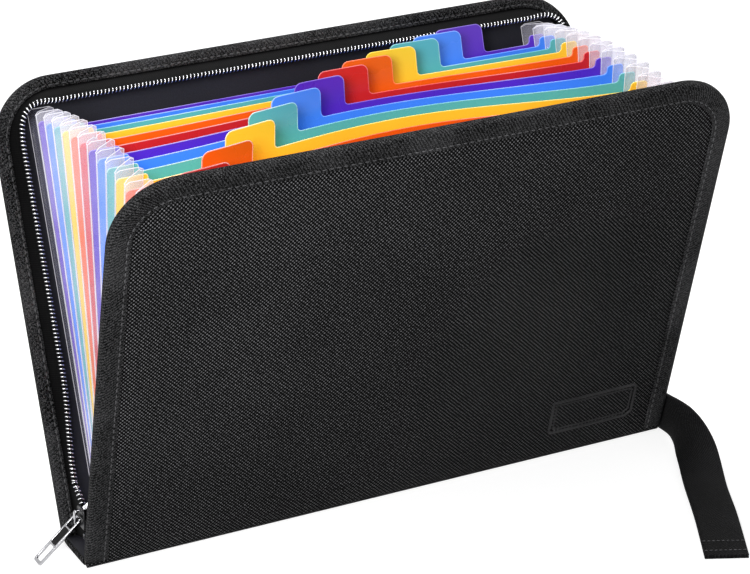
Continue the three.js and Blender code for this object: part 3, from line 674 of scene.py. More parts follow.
def along_edge(spots, inward, out):
    """Points at a distance in from the edge and out from a cover's middle."""
    x, z, in_x, in_z = spots.T
    return np.column_stack([x + inward * in_x, np.broadcast_to(-np.asarray(out), x.shape), z + inward * in_z])


def swept(section, start, bend=lambda spots, inward, out: (inward, out)):
    """A draft of a closed section run round the edge. Its points are [in from the edge, out from
    the middle]. "bend" moves a point by its station."""
    spots, run = edge_stations(start)
    columns = [along_edge(spots, *bend(spots, inward, out)) for inward, out in section]
    cloth = [(way, across) for way in run for across in distances(section)]
    return Draft().rows(np.stack(columns, axis=1).reshape(-1, 3), len(section), ring=True, cloth=cloth)


# %% [markdown]
# ## The bindings
# A band is folded over the raw edges of cloth, board and zip tape and sewn through. Its fold is
# round, it swells a little between fold and seam, and the seam pulls a groove into it. The outer
# leg is wide and smooth, the inner one narrow.

# %% Make both bindings
outer_leg = [
    (12.0, 2.35), (12.1, 2.75), (11.7, 3.15), (11.0, 3.3), (10.4, 3.1), (9.9, 2.85), (9.4, 3.1),
    (8.2, 3.3), (5.5, 3.4), (3.0, 3.3), (1.5, 2.9), (0.5, 2.1), (0.05, 0.9),
]
inner_leg = [
    (0.0, -1.0), (0.2, -2.4), (0.8, -3.5), (1.8, -4.15), (3.4, -4.35), (4.9, -4.2), (5.5, -3.95),
    (6.1, -4.2), (6.8, -4.15), (7.2, -3.85), (7.2, -3.45), (1.5, -3.4), (1.1, -2.6), (1.1, 1.8), (1.4, 2.35),
]
girth = len(outer_leg + inner_leg)
for side in ("front", "back"):
    draft = swept(outer_leg + inner_leg, 3.2)
    draft.finishes = [int(len(face) == 4 and min(face) % girth >= len(outer_leg)) for face in draft.faces]
    binding = draft.piece(f"{side}_binding_band", binding_smooth, binding_coarse, place=COVER_PLACES[side])
    belongs(binding, "binding", f"{side}_cover", f"{side}_binding")

# %% [markdown]
# ## Stitches by Geometry Nodes
# A seam is one short stitch repeated along a path, so a node tree makes it. The path is cut into
# equal steps, a stitch is laid at each, its length turned along the path and its back turned
# outwards. The same tree sews the bindings and the strap.

# %% A tree that repeats a small form along a path
def path_tree(name, **sizes):
    """A tree with a path, its sizes and a material as its inputs."""
    return new_group(name, "GeometryNodeTree", {"Path": "Geometry", **sizes, "Material": "Material"},
                     {"Result": "Geometry"})


def repeat(tree, form):
    """Ends a tree: the form at equal steps along the path, made real, with its finish. Its X lies
    along the path, and its Z in the outward direction that the path carries."""
    curve = tree.node("GeometryNodeMeshToCurve", {"Mesh": tree.given["Path"]})
    steps = tree.node("GeometryNodeResampleCurve", {"Curve": curve, "Length": tree.given["Pitch"]},
                      mode="LENGTH")
    outward = tree.node("GeometryNodeInputNamedAttribute", {"Name": "outward"}, data_type="FLOAT_VECTOR")
    first = tree.node("FunctionNodeAlignRotationToVector",
                      {"Vector": tree.node("GeometryNodeInputTangent")}, axis="X")
    second = tree.node("FunctionNodeAlignRotationToVector",
                       {"Rotation": first, "Vector": outward.outputs["Attribute"]}, axis="Z", pivot_axis="X")
    copies = tree.node("GeometryNodeInstanceOnPoints",
                       {"Points": steps, "Instance": form, "Rotation": second})
    real = tree.node("GeometryNodeRealizeInstances", {0: copies})
    smooth = tree.node("GeometryNodeSetShadeSmooth", {"Geometry": real})
    finish = tree.node("GeometryNodeSetMaterial", {"Geometry": smooth, "Material": tree.given["Material"]})
    tree.feed(tree.result["Result"], finish)


seam_tree = path_tree("seam", Pitch=0.0034, Length=0.0026, Width=0.0007)
width = seam_tree.given["Width"]
bead = seam_tree.node("GeometryNodeMeshUVSphere", {"Segments": 6, "Rings": 5, "Radius": 0.5})
size = seam_tree.joined(seam_tree.given["Length"], width, width)
repeat(seam_tree, seam_tree.node("GeometryNodeTransform", {"Geometry": bead, "Scale": size}))


# %% Run a tree along a path
def along_path(name, tree, path, place, outward, **inputs):
    """A piece that a tree makes along a path of points in millimetres. The outward direction is
    one for the whole path, or one for each point."""
    points = moved(np.array(path, float) * MM, place)
    outward = moved(np.broadcast_to(np.array(outward, float), points.shape), place, shift=0)
    mesh = bpy.data.meshes.new(name)
    mesh.from_pydata(points.tolist(), [(i, i + 1) for i in range(len(points) - 1)], [])
    mesh.attributes.new("outward", "FLOAT_VECTOR", "POINT").data.foreach_set("vector", outward.ravel())
    made = linked(name, mesh)
    modifier = made.modifiers.new("repeat", "NODES")
    modifier.node_group = tree.tree
    for item in tree.tree.interface.items_tree:
        if item.name in inputs:
            modifier[item.identifier] = inputs[item.name]
    return finished(made)


# %% Sew the bindings
def seam(name, path, place, outward, pitch=4.0, length=2.9, width=0.9):
    return along_path(name, seam_tree, path, place, outward, Pitch=pitch * MM, Length=length * MM,
                      Width=width * MM, Material=thread)


BINDING_SEAMS = {"seam": (9.9, 2.95, (0, -1, 0)), "inner_seam": (5.5, -4.05, (0, 1, 0))}
for side in ("front", "back"):
    spots, _ = edge_stations(4)
    for label, (inward, out, outward) in BINDING_SEAMS.items():
        sewn = seam(f"{side}_binding_{label}", along_edge(spots, inward, out), COVER_PLACES[side], outward)
        belongs(sewn, "binding", f"{side}_cover")
    print(sewn.name, "faces:", len(sewn.data.polygons))

# %% [markdown]
# ## Zip tape
# The tape is sewn under the binding's inner leg and then stands out from the cover, so that the two
# chains meet half way when the file is shut. Its free edge is a corded bead that carries the coil.
# While the zip is open nothing holds that edge up, so the tape droops: most along the top, less at
# the sides, and not at all near the slider. Each point of the section is turned about the tape's
# root by the droop of its station.

# %% How far the tape droops
ROOT_OUT = -2.7              # where the tape leaves the cover
SIDE_DROOP, MORE_ON_TOP = 20, 12     # in degrees
DROOP_START, DROOP_RUN = 34, 60      # the height where the droop begins, and its run to the full
CORNER_HELD = {"front": 0.0, "back": 0.8}


def droop(spots, held):
    """The tape's turn at each station, in radians. A corner holds it up by a share."""
    _, z, in_x, in_z = spots.T
    full = np.radians(SIDE_DROOP + MORE_ON_TOP * np.abs(in_z) ** 1.5)
    round_corner = (2 * in_x * in_z) ** 2
    return full * (1 - held * round_corner) * smooth_step((z - DROOP_START) / DROOP_RUN)


def drooped(spots, inward, out, held):
    """A point of the tape's section at each station, turned about the tape's root."""
    length = ROOT_OUT - out
    if length <= 0:
        return inward, out
    turn = droop(spots, held) * smooth_step(length / 3)
    aside = inward - CHAIN_INSET
    return (CHAIN_INSET + aside * np.cos(turn) + length * np.sin(turn),
            ROOT_OUT - length * np.cos(turn) + aside * np.sin(turn))


# %% Make the tapes
tape_section = [
    (2.0, -2.35), (7.4, -2.35), (8.1, -2.6), (8.35, -3.2), (8.3, -8.0), (8.3, -12.9),
    (8.7, -13.3), (8.9, -14.1), (8.6, -14.8), (7.9, -15.1), (7.2, -14.8), (6.9, -14.1), (7.1, -13.3),
    (7.5, -12.9), (7.5, -8.0), (7.5, -3.5), (7.2, -3.1), (2.0, -3.05),
]
for side, held in CORNER_HELD.items():
    draft = swept(tape_section, TAPE_START, bend=lambda *point: drooped(*point, held))
    tape = draft.piece(f"{side}_zip_band", tape_cloth, place=COVER_PLACES[side])
    belongs(tape, "binding", f"{side}_cover", f"{side}_zip_tape")

# %% [markdown]
# ## The coil
# The teeth are one wire wound round the tape's cord. Seen one at a time, each turn is a slanted
# oval loop with a dark middle. The tree draws one loop of wire, stands it across the path, slants
# it, and repeats it along the chain.

# %% A tree for the coil
coil_tree = path_tree("coil", Pitch=0.0029, Reach=0.0016, Breadth=0.0016, Wire=0.00045, Slant=0.5)
given = coil_tree.given
loop = coil_tree.node("GeometryNodeCurvePrimitiveCircle", {"Resolution": 12, "Radius": 1.0})
oval = coil_tree.joined(given["Breadth"], given["Reach"], 1.0)
stretched = coil_tree.node("GeometryNodeTransform", {"Geometry": loop, "Scale": oval})
tilt = coil_tree.joined(math.pi / 2, 0.0, given["Slant"])
stood = coil_tree.node("GeometryNodeTransform", {"Geometry": stretched, "Rotation": tilt})
wire = coil_tree.node("GeometryNodeCurvePrimitiveCircle", {"Resolution": 6, "Radius": given["Wire"]})
repeat(coil_tree, coil_tree.node("GeometryNodeCurveToMesh", {"Curve": stood, "Profile Curve": wire}))

# %% Wind the coils
COIL_OUT = -14.35


def coil(name, path, place, outward):
    return along_path(name, coil_tree, path, place, outward, Pitch=2.2 * MM, Reach=1.1 * MM,
                      Breadth=1.4 * MM, Wire=0.37 * MM, Slant=math.radians(74), Material=coil_metal)


for side, held in CORNER_HELD.items():
    spots, _ = edge_stations(ZIP_START)
    turn = droop(spots, held)
    outward = np.column_stack([spots[:, 2] * np.sin(turn), np.cos(turn), spots[:, 3] * np.sin(turn)])
    path = along_edge(spots, *drooped(spots, CHAIN_INSET, COIL_OUT, held))
    chain = coil(f"{side}_coil", path, COVER_PLACES[side], outward)
    belongs(chain, "zip_metal", f"{side}_cover", f"{side}_zip_teeth")
    print(chain.name, "faces:", len(chain.data.polygons))

# %% [markdown]
# ## The dividers
# Each divider is one stamped sheet with an ear at each end and one tab. Real sheets are never flat: they bow
# between their welded ends. The outline is filled with triangles round a loose grid of points, the points are
# pushed off the plane by the bow, and the sheet is given its thickness. A fine bead along the top stands for
# the cut edge. Its whiter colour and stronger glow are a painted highlight.

# %% Where each divider stands
def station(number):
    """0 is the front cover's hinge, 1 to 12 the dividers, 13 the back cover's hinge."""
    share = number / POCKETS
    lean = LEAN * (2 * share - 1)
    if number in (0, POCKETS):
        return math.copysign(HINGE_Y, lean), HINGE_Z, lean
    return ACCORDION * (share - 0.5), DIVIDER_Z, lean


def beside(number, x, behind, height):
    """A point beside a divider: how far behind it, and how high above the accordion's foot."""
    y, z, lean = station(number)
    up = height + DIVIDER_Z - z
    return (x, y + behind * math.cos(lean) + up * math.sin(lean),
            z - behind * math.sin(lean) + up * math.cos(lean))


def tab_left(number):
    """The tabs step from left to right, one after the other."""
    first, last = -NOTCH_X + 5, NOTCH_X - 30 - TAB_WIDTH
    return first + (last - first) * (number - 1) / (DIVIDERS - 1)


# %% The outline of a divider
def arc(centre_x, centre_z, radius, first, last, steps):
    """Points on a circle from one angle to another, in degrees."""
    return [
        (centre_x + radius * math.cos(turn), centre_z + radius * math.sin(turn))
        for turn in np.radians(np.linspace(first, last, steps + 1))
    ]


def crest(left, right, top, radius, steps):
    """A raised part with its two corners rounded."""
    return (arc(left + radius, top - radius, radius, 180, 90, steps)
            + arc(right - radius, top - radius, radius, 90, 0, steps))


def dip(left, right, bottom, radius=2.5):
    """A low part that runs up at both ends in a fillet."""
    return (arc(left + radius, bottom + radius, radius, 180, 270, 4)
            + arc(right - radius, bottom + radius, radius, 270, 360, 4))


def divider_top(number):
    """The upper edge from left to right, in millimetres above the divider's foot."""
    main, ear, tab = MAIN_EDGE - DIVIDER_Z, SHEET_EAR - DIVIDER_Z, TAB_EDGE - DIVIDER_Z
    left = tab_left(number)
    right = left + TAB_WIDTH
    return (crest(SHEET_LEFT, -NOTCH_X, ear, 2, 4) + dip(-NOTCH_X, left, main) + crest(left, right, tab, 4, 6)
            + dip(right, NOTCH_X, main) + crest(NOTCH_X, SHEET_RIGHT, ear, 2, 4))


def bow(number, x, z):
    """How far behind its plane a divider's sheet lies."""
    share = np.clip(np.asarray(x, float) / DIVIDER_HALF, -1, 1)
    height = np.clip(np.asarray(z, float) / (MAIN_EDGE - DIVIDER_Z), 0, 1.1)
    round_off = np.cos(share * math.pi / 2)
    across = min(17, 1.6 + 1.75 * (DIVIDERS - number)) * round_off**2
    sway = 1.2 * (1 - number / DIVIDERS) * np.sin(share * math.pi) * round_off
    return (across + sway) * height**1.6


def subdivided(points, longest):
    """A row of points with long steps cut up."""
    out = [points[0]]
    for before, after in zip(points, points[1:]):
        pieces = max(1, math.ceil(math.dist(before, after) / longest))
        for i in range(1, pieces + 1):
            out.append(tuple(a + (b - a) * i / pieces for a, b in zip(before, after)))
    return out


# %% Stamp the dividers
SHEET_BEAD = 0.34            # radius of the bright cut edge


def divider_sheet(number, film):
    top = divider_top(number)
    outline = subdivided(top + [(SHEET_RIGHT, 0), (SHEET_LEFT, 0), top[0]], 8)[:-1]
    left = tab_left(number)
    in_tab = np.arange(left + 5, left + TAB_WIDTH - 4, 5)
    inside = [(x, z) for z in (25, 60, 95, 130, 160, 190, 208, 217) for x in np.arange(-153, 154, 9)]
    inside += [(x, z) for z in (225, 232) for x in in_tab]
    flat, _, faces, *_ = delaunay_2d_cdt(
        [Vector(spot) for spot in outline + inside], [], [list(range(len(outline)))], 1, 1e-4
    )
    flat = np.array([tuple(spot) for spot in flat])
    points = [beside(number, x, y, z) for (x, z), y in zip(flat, bow(number, *flat.T))]
    return Draft().add(points, faces, cloth=flat).sheet(f"sheet_{number:02d}", 0.4, film, sharp=40)


def edge_bead(number, film):
    top = subdivided(divider_top(number), 6)
    path = [beside(number, x, float(bow(number, x, z)), z - SHEET_BEAD * 0.4) for x, z in top]
    return Draft().bead(path, SHEET_BEAD).piece(f"sheet_{number:02d}_edge", film)


for number, colour in zip(range(1, DIVIDERS + 1), list(COLOURS) * 2):
    divider = f"divider_{number:02d}"
    sheet = divider_sheet(number, film_faces[colour])
    belongs(sheet, f"film_{colour}", divider, divider)
    belongs(edge_bead(number, edge_highlight_films[colour]), f"film_{colour}", divider)
print("divider faces:", len(sheet.data.polygons))

# %% [markdown]
# ## The clear pleated sides
# One sheet of clear film closes each side. It is welded flat in front of each ear, wraps round the divider's
# end, and runs inwards to the next weld, so that it folds like a fan. The welded panels move with their
# dividers. The loose panels between two dividers stay where they are drawn, with their places baked into
# their meshes.

# %% A strip of film with bright folds
OUTER_FOLD, INNER_FOLD = 161.0, 146.0
FILM = 0.24                  # the film's thickness, and its cut edge's radius as it looks
FOLD_BEAD = 0.18
FILM_TOP = EAR_EDGE - DIVIDER_Z
FILM_ROWS = 16
CORNER_CUT = 1.4


def film_gap(number):
    """How far the film lies from a divider's plane, or from a cover's middle."""
    return 2.5 if number in (0, POCKETS) else 0.65


def upright(number, x, behind):
    """A line up beside a divider, as a function of the height."""
    return lambda height: np.array(beside(number, x, behind, height))


def film_strip(draft, first, second, shares=(0, 1), columns=6, folded=True):
    """A strip between two upright lines, or between two shares of the way from one to the other.
    Its cut top and its folds are beads with a painted glow, and its upper corners are cut a little lower. The
    left side has a finish of its own, a lit copy with more painted glow, because the light comes from there."""
    heights = np.linspace(0.4, FILM_TOP, FILM_ROWS)
    grid = []
    for column, share in enumerate(np.linspace(*shares, columns + 1)):
        drop = np.linspace(0, CORNER_CUT if column in (0, columns) else 0, FILM_ROWS)
        grid.append([first(h) * (1 - share) + second(h) * share for h in heights - drop])
    grid = np.array(grid).swapaxes(0, 1)
    normal = np.cross(grid[-1, -1] - grid[-1, 0], grid[-1, 0] - grid[0, 0])
    normal *= FILM / 2 / np.linalg.norm(normal)
    flat = grid.reshape(-1, 3)
    half = len(flat)
    faces = row_faces(FILM_ROWS, columns + 1)
    faces += [tuple(half + corner for corner in face[::-1]) for face in faces]
    index = np.arange(half).reshape(FILM_ROWS, columns + 1)
    outline = np.concatenate([index[0], index[1:, -1], index[-1, -2::-1], index[-2:0:-1, 0]]).tolist()
    faces += [(b, a, half + a, half + b) for a, b in zip(outline, outline[1:] + outline[:1])]
    draft.add(np.concatenate([flat + normal, flat - normal]), faces, 0 if flat[0, 0] < 0 else 2)
    draft.bead(grid[-1], FILM, finish=1)
    if folded:
        draft.bead(grid[:, 0], FOLD_BEAD, finish=1)
        draft.bead(grid[:, -1], FOLD_BEAD, finish=1)


def film_piece(draft, name, films, body=None, *nodes):
    return belongs(draft.piece(name, films[0], fold_highlight, films[1]), "clear_film", body, *nodes)


# %% Weld the panels to the dividers
for number in range(1, DIVIDERS + 1):
    draft = Draft()
    for side in (-1, 1):
        front_fold = upright(number, side * OUTER_FOLD, -film_gap(number))
        film_strip(draft, front_fold, upright(number, side * INNER_FOLD, -film_gap(number)))
        film_strip(draft, upright(number, side * OUTER_FOLD, film_gap(number)), front_fold,
                   columns=1, folded=False)
    film_piece(draft, f"side_panel_{number:02d}", panel_films, f"divider_{number:02d}")

# %% Weld the end strips to the covers
for side_name, number, behind in (("front", 0, film_gap(0)), ("back", POCKETS, -film_gap(POCKETS))):
    draft = Draft()
    for side in (-1, 1):
        film_strip(draft, *(upright(number, side * fold, behind) for fold in (OUTER_FOLD, INNER_FOLD)))
    film_piece(draft, f"side_strip_{side_name}", smoky_films, f"{side_name}_cover")


# %% [markdown]
# ## The loose panels
# Each loose panel runs from a divider's end inwards to the one behind it, on both sides of the file. The
# middle one is made in two halves, and each panel's place is baked into its mesh.

# %% Make the panels between the dividers
MIDDLE = DIVIDERS // 2


def loose_film(ahead, shares=(0, 1)):
    """The film from a divider's end inwards to the one behind it, for both sides of the file."""
    draft = Draft()
    for side in (-1, 1):
        film_strip(draft, upright(ahead, side * OUTER_FOLD, film_gap(ahead)),
                   upright(ahead + 1, side * INNER_FOLD, -film_gap(ahead + 1)), shares, folded=False)
    return draft


def fan_blend(piece, still, moving):
    """Bakes a panel's place into its mesh. Nothing blends it. "still" and "moving" are the stations on the
    panel's two sides."""
    y, z, lean = station(still)
    normal = Vector((0, math.cos(lean), -math.sin(lean)))
    if moving < still:
        normal = -normal
    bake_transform(piece)


for ahead in range(POCKETS):
    behind = ahead + 1
    if ahead == MIDDLE:
        for moving, shares in ((ahead, (0, 0.5)), (behind, (0.5, 1))):
            piece = film_piece(loose_film(ahead, shares), f"side_fold_middle_{moving:02d}", fold_films)
            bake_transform(piece)
        continue
    moving, still = (ahead, behind) if ahead < MIDDLE else (behind, ahead)
    nodes = {0: ["gusset_left"], DIVIDERS: ["gusset_right"]}.get(ahead, [])
    piece = film_piece(loose_film(ahead), f"side_fold_{ahead:02d}", fold_films, None, *nodes)
    fan_blend(piece, still, moving)
print("loose side panels:", POCKETS)

# %% [markdown]
# ## The foot of the accordion
# Under the pockets the film is pleated: a ridge below each divider and a valley between. A cosine
# wave gives the soft pleats, and the film's thickness is added to it.

# %% Pleat the foot
def level_sheet(xs, ys, height):
    """A draft over a grid of X and Y, with its height at each point."""
    spots = [(x, y) for x in xs for y in ys]
    return Draft().rows([(x, y, height(x, y)) for x, y in spots], len(ys), cloth=spots)


def pleat(_, y):
    return 5.3 + 0.75 * math.cos(2 * math.pi * (y + ACCORDION / 2) * POCKETS / ACCORDION)


inside_spine = SPINE_HALF - 0.5
foot = level_sheet(np.linspace(-DIVIDER_HALF, DIVIDER_HALF, 33),
                   np.linspace(-inside_spine, inside_spine, 8 * POCKETS + 1), pleat)
belongs(foot.sheet("accordion_foot", 0.4, panel_films[1]), "clear_film", "spine", "accordion_base")

# %% [markdown]
# ## The base
# The covers' cloth also wraps the narrow base, and turns up at both ends to close it. Its section
# is drawn as a soft-cornered channel and run from front to back, drawn in a little at both edges.

# %% Wrap the base
BASE_WALL = 0.8              # the cloth's thickness
BASE_CORNER = 1.6
BASE_EDGE = 4.0              # how high the turned-up ends stand
BASE_TUCK = 0.35             # how far the front and back edges are drawn in


def base_cloth():
    outside = [(-HALF, BASE_EDGE)] + arc(-HALF + BASE_CORNER, BASE_CORNER, BASE_CORNER, 180, 270, 5)
    outside += [(x, 0) for x in np.arange(-170, 171, 10)]
    outside += arc(HALF - BASE_CORNER, BASE_CORNER, BASE_CORNER, 270, 360, 5) + [(HALF, BASE_EDGE)]
    wall = HALF - BASE_WALL
    inside = [(wall + 0.4, BASE_EDGE + 0.25), (wall, BASE_EDGE), (wall, BASE_WALL)]
    section = outside + inside + [(-x, z) for x, z in inside[::-1]]
    ys = np.linspace(-inside_spine, inside_spine, 9)
    points, cloth = [], []
    for y in (-SPINE_HALF, *ys, SPINE_HALF):
        tuck = BASE_TUCK * smooth_step((abs(y) - SPINE_HALF + 0.8) / 0.8)
        for place, (x, z) in enumerate(section):
            pulled = tuck * (place < len(outside))
            points.append((x - math.copysign(pulled, x) * (abs(x) > 178), y, z + pulled * (z < 1.5)))
            cloth.append((x + math.copysign(4, x) * (z > 1), y))
    return Draft().rows(points, len(section), ring=True, cloth=cloth)


belongs(base_cloth().piece("base_cloth", back_cloth), "fabric", "spine", "spine_fabric")


def floor_wave(x, y):
    return 3.75 + 0.12 * math.sin(x / 9) * math.cos(y / 5)


floor_cloth = level_sheet(np.linspace(-180.2, 180.2, 37), np.linspace(-SPINE_HALF, SPINE_HALF, 9), floor_wave)
belongs(floor_cloth.sheet("base_lining", LINING, lining_cloth), "lining", "spine", "spine_lining")

# %% [markdown]
# ## The soft ends of the zip
# Below its sewn stretch each tape is free. It runs down to the slider, and on behind it to the base, and this
# loose part lets the covers open. Each half is a sheet between the cover's edge and the zip's middle.

# %% Make the soft ends
FREE_SIDES = ((-1, "front"), (1, "back"))
FLAP_FOOT = (13.4, 4.5)      # Y and Z where a half is sewn to the base
FLAP_GAP = 1.5               # from the zip's middle to a half's free edge
CORD_OUT = -13.4             # where the tape's cord lies, out from a cover's middle


def cover_point(y_sign, out, height):
    """Y and Z of a point by a cover. "out" is measured from its middle, away from the file."""
    point = hinge @ (Vector((0, -out, height)) * MM)
    return np.array([point.y / MM * (-y_sign), point.z / MM])


def soft_end(side, y_sign):
    """y_sign is -1 for the front half, 1 for the back half."""
    heights = np.linspace(3.2, TAPE_START - 0.2, 9)
    sewn = [(y_sign * FLAP_FOOT[0], FLAP_FOOT[1])]
    sewn += [cover_point(y_sign, ROOT_OUT, height) for height in heights]
    inner = [np.array((y_sign * FLAP_GAP, z)) for z in np.linspace(8, SLIDER_Z + 8, 6)]
    to_chain = cover_point(y_sign, CORD_OUT, TAPE_START + 0.4) - inner[-1]
    inner += [inner[-1] + to_chain * share for share in (0.25, 0.5, 0.75, 1.0)]
    columns = 8
    grid = []
    for a, b in zip(sewn, inner):
        for share in np.linspace(0, 1, columns):
            y, z = a + (b - a) * share
            grid.append((side * (CHAIN_X + 0.5 * math.sin(share * math.pi)), y, z))
    return Draft().rows(grid, columns, cloth=[(z, y) for _, y, z in grid])


def end_blend(piece):
    """Bakes a soft end's place into its mesh."""
    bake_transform(piece)


for side, node in ((-1, "zip_end_left"), (1, "zip_end_right")):
    for y_sign, cover in FREE_SIDES:
        flap = soft_end(side, y_sign).sheet(f"{node}_{cover}", 0.7, tape_cloth, sharp=50)
        belongs(flap, "binding", None, node)
        end_blend(flap)

# %% The coil on the left soft end
for y_sign, cover in FREE_SIDES:
    top = cover_point(y_sign, COIL_OUT, ZIP_START - 1.5)
    mouth = np.array([y_sign * 2.6, SLIDER_Z + 6.5])
    path = [(-CHAIN_X, *(top + (mouth - top) * share)) for share in np.linspace(0, 1, 7)]
    low = belongs(coil(f"{cover}_coil_end", path, None, (0, -y_sign, 0)), "zip_metal")
    end_blend(low)

# %% [markdown]
# ## Slider and pull
# The slider is a small casting: two plates drawn in at the tail, flanges, and a crown for the pull.
# The pull is a stamped frame with a black insert and an open window. A flat curve with holes gives
# the frame its rounded edges in one go.

# %% A plate from a flat outline
def stamped(name, outlines, thickness, bevel, place, finish):
    """A plate with rounded edges, cut from closed outlines: the first is the plate, the rest are
    holes. The outlines are in millimetres in the plate's own X and Y."""
    flat = bpy.data.curves.new(name, "CURVE")
    flat.dimensions = "2D"
    flat.fill_mode = "BOTH"
    for outline in outlines:
        spline = flat.splines.new("POLY")
        spline.points.add(len(outline) - 1)
        for point, (x, y) in zip(spline.points, outline):
            point.co = (x * MM, y * MM, 0, 1)
        spline.use_cyclic_u = True
    flat.extrude = (thickness / 2 - bevel) * MM
    flat.bevel_depth = bevel * MM
    flat.offset = -bevel * MM
    flat.bevel_resolution = 2
    drawn = linked(name + "_curve", flat)
    mesh = evaluated(drawn)
    bpy.data.objects.remove(drawn)
    mesh.transform(place)
    turn_outwards(mesh, weld=True)
    mesh.uv_layers.new(name="cloth")
    mesh.shade_smooth()
    mesh.set_sharp_from_angle(angle=math.radians(50))
    return linked(name, mesh, finish)


def rounded(x0, x1, y0, y1, radius):
    """A rectangle with round corners, from its right side round to the left."""
    low_x, high_x, low_y, high_y = x0 + radius, x1 - radius, y0 + radius, y1 - radius
    centres = ((high_x, high_y), (low_x, high_y), (low_x, low_y), (high_x, low_y))
    out = []
    for quarter, centre in enumerate(centres):
        out += arc(*centre, radius, 90 * quarter, 90 * quarter + 90, 5)
    return out


def at_slider(x):
    return Matrix.Translation(Vector((x, 0, SLIDER_Z)) * MM)


# %% Cast the slider
plate = [(3.8, -6.5), (4.3, -6.35), (4.5, -6.0), (4.7, -5.0), (5.1, 0.0), (5.5, 2.5), (5.2, 4.4), (3.9, 5.6),
         (2.0, 6.3)]
plate += [(0.0, 6.5)] + [(-x, y) for x, y in reversed(plate)]
# Each part has its outline, its thickness, the roundness of its edges and its X from the chain.
slider_plates = {
    "slider_outer": (plate, 1.3, 0.4, -2.0),
    "slider_inner": (plate, 1.1, 0.35, 2.0),
    "slider_post": (rounded(-0.6, 0.6, 2.6, 5.6, 0.3), 4.2, 0.1, 0.0),
}
for edge in (-1, 1):
    low, high = edge * 4.6, edge * 4.9
    flange = [(low - 0.45, -5.4), (low + 0.35, -5.4), (high + 0.4, 2.3), (high - 0.4, 2.3)]
    for offset in (-1.5, 1.5):
        slider_plates[f"slider_flange_{edge}_{offset}"] = (flange, 1.2, 0.2, offset * 0.82)

standing = Matrix.Rotation(math.pi / 2, 4, "Z") @ Matrix.Rotation(math.pi / 2, 4, "X")
slider_parts = [
    stamped(name, [outline], thickness, bevel, at_slider(x - CHAIN_X) @ standing, slider_metal)
    for name, (outline, thickness, bevel, x) in slider_plates.items()
]
crown_half = [(4.8, -0.6), (4.8, 2.2), (4.4, 3.2), (3.4, 3.85)]
crown_hollow = [(3.7, -0.6), (3.7, 1.9), (3.0, 2.65)]
crown_outline = [(-x, y) for x, y in crown_half] + [(0, 4.0)] + crown_half[::-1]
crown_outline += crown_hollow + [(0, 2.8)] + [(-x, y) for x, y in crown_hollow[::-1]]
crown_turn = Matrix(((0, -1, 0, 0), (0, 0, 1, 0), (-1, 0, 0, 0), (0, 0, 0, 1)))
crown_place = at_slider(-CHAIN_X - 2.5) @ crown_turn
slider_parts.append(stamped("slider_crown", [crown_outline], 2.4, 0.35, crown_place, pull_metal))
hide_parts("zip_slider")
for part in slider_parts:
    belongs(part, "zip_metal", "slider")

# %% Stamp the pull
PIVOT_X = -CHAIN_X - 3.9
PULL_DROOP = math.radians(39.5)
pull_place = at_slider(PIVOT_X) @ Matrix.Rotation(math.pi - PULL_DROOP, 4, "Y")
# The frame, then its holes: for the slider's crown, for the insert, and the open window.
pull_outlines = [
    rounded(-0.65, 33, -4.5, 4.5, 2.0),
    rounded(0.65, 7.4, -3.2, 3.2, 1.2),
    rounded(8.4, 19.6, -3.2, 3.2, 0.6),
    rounded(20.6, 31.0, -3.2, 3.2, 1.0),
]
pull = stamped("pull_frame", pull_outlines, 1.6, 0.35, pull_place, pull_metal)
belongs(pull, "zip_metal", "pull", "zip_pull")
inlay = stamped("pull_inlay", [rounded(8.5, 19.5, -3.1, 3.1, 0.5)], 1.3, 0.25, pull_place, insert_rubber)
belongs(inlay, "pull_insert", "pull", "zip_pull_insert")
print("slider parts:", len(slider_parts))

# %% [markdown]
# ## The wrist strap
# A doubled band of webbing hangs from the right end of the base. It stands on edge at its root,
# turns over outwards and lies on the floor in front. A smooth curve through a few places gives its
# lower edge and how far it has turned over. Two plies are swept along it, and stitches cross them at
# the root and twice at the end.

# %% The strap's way
STRAP_WIDTH = 24
STRAP_HALF = 1.2             # half its thickness
PLY_MIDDLE = 0.68            # a ply's middle, from the strap's middle
STITCH_LEVEL = 1.22
STRAP_ROOT = HALF + 0.3 + STRAP_HALF
# Each place has its X from the root, its Y, and how far the strap has turned over, in degrees.
STRAP_PLACES = np.array([
    (0, 6, 0), (0, -14, 0), (0, -27, 3), (-3.6, -38.5, 20), (-13.6, -57.7, 56),
    (-20.8, -72, 78), (-29.6, -90.8, 90), (-45.2, -126, 90), (-65.8, -169, 90),
], float)
SPANS = (((0, 1), (1, 2), (2, 3)), ((0, 2), (1, 3)), ((1, 2),))


def through_places(share):
    """A smooth curve through the places, at a share of its length counted by places. Four places
    are joined two by two and three times over, each time between the knots of a span."""
    before, after = 2 * STRAP_PLACES[0] - STRAP_PLACES[1], 2 * STRAP_PLACES[-1] - STRAP_PLACES[-2]
    places = np.vstack([before, STRAP_PLACES, after])
    along = share * (len(places) - 3)
    first = min(int(along), len(places) - 4)
    near = places[first:first + 4]
    knots = np.concatenate([[0], np.cumsum(np.linalg.norm(np.diff(near, axis=0), axis=1) ** 0.5)])
    t = knots[1] + (knots[2] - knots[1]) * (along - first)
    for spans in SPANS:
        near = [
            ((knots[b] - t) * start + (t - knots[a]) * end) / (knots[b] - knots[a])
            for (a, b), start, end in zip(spans, near, near[1:])
        ]
    return near[0]


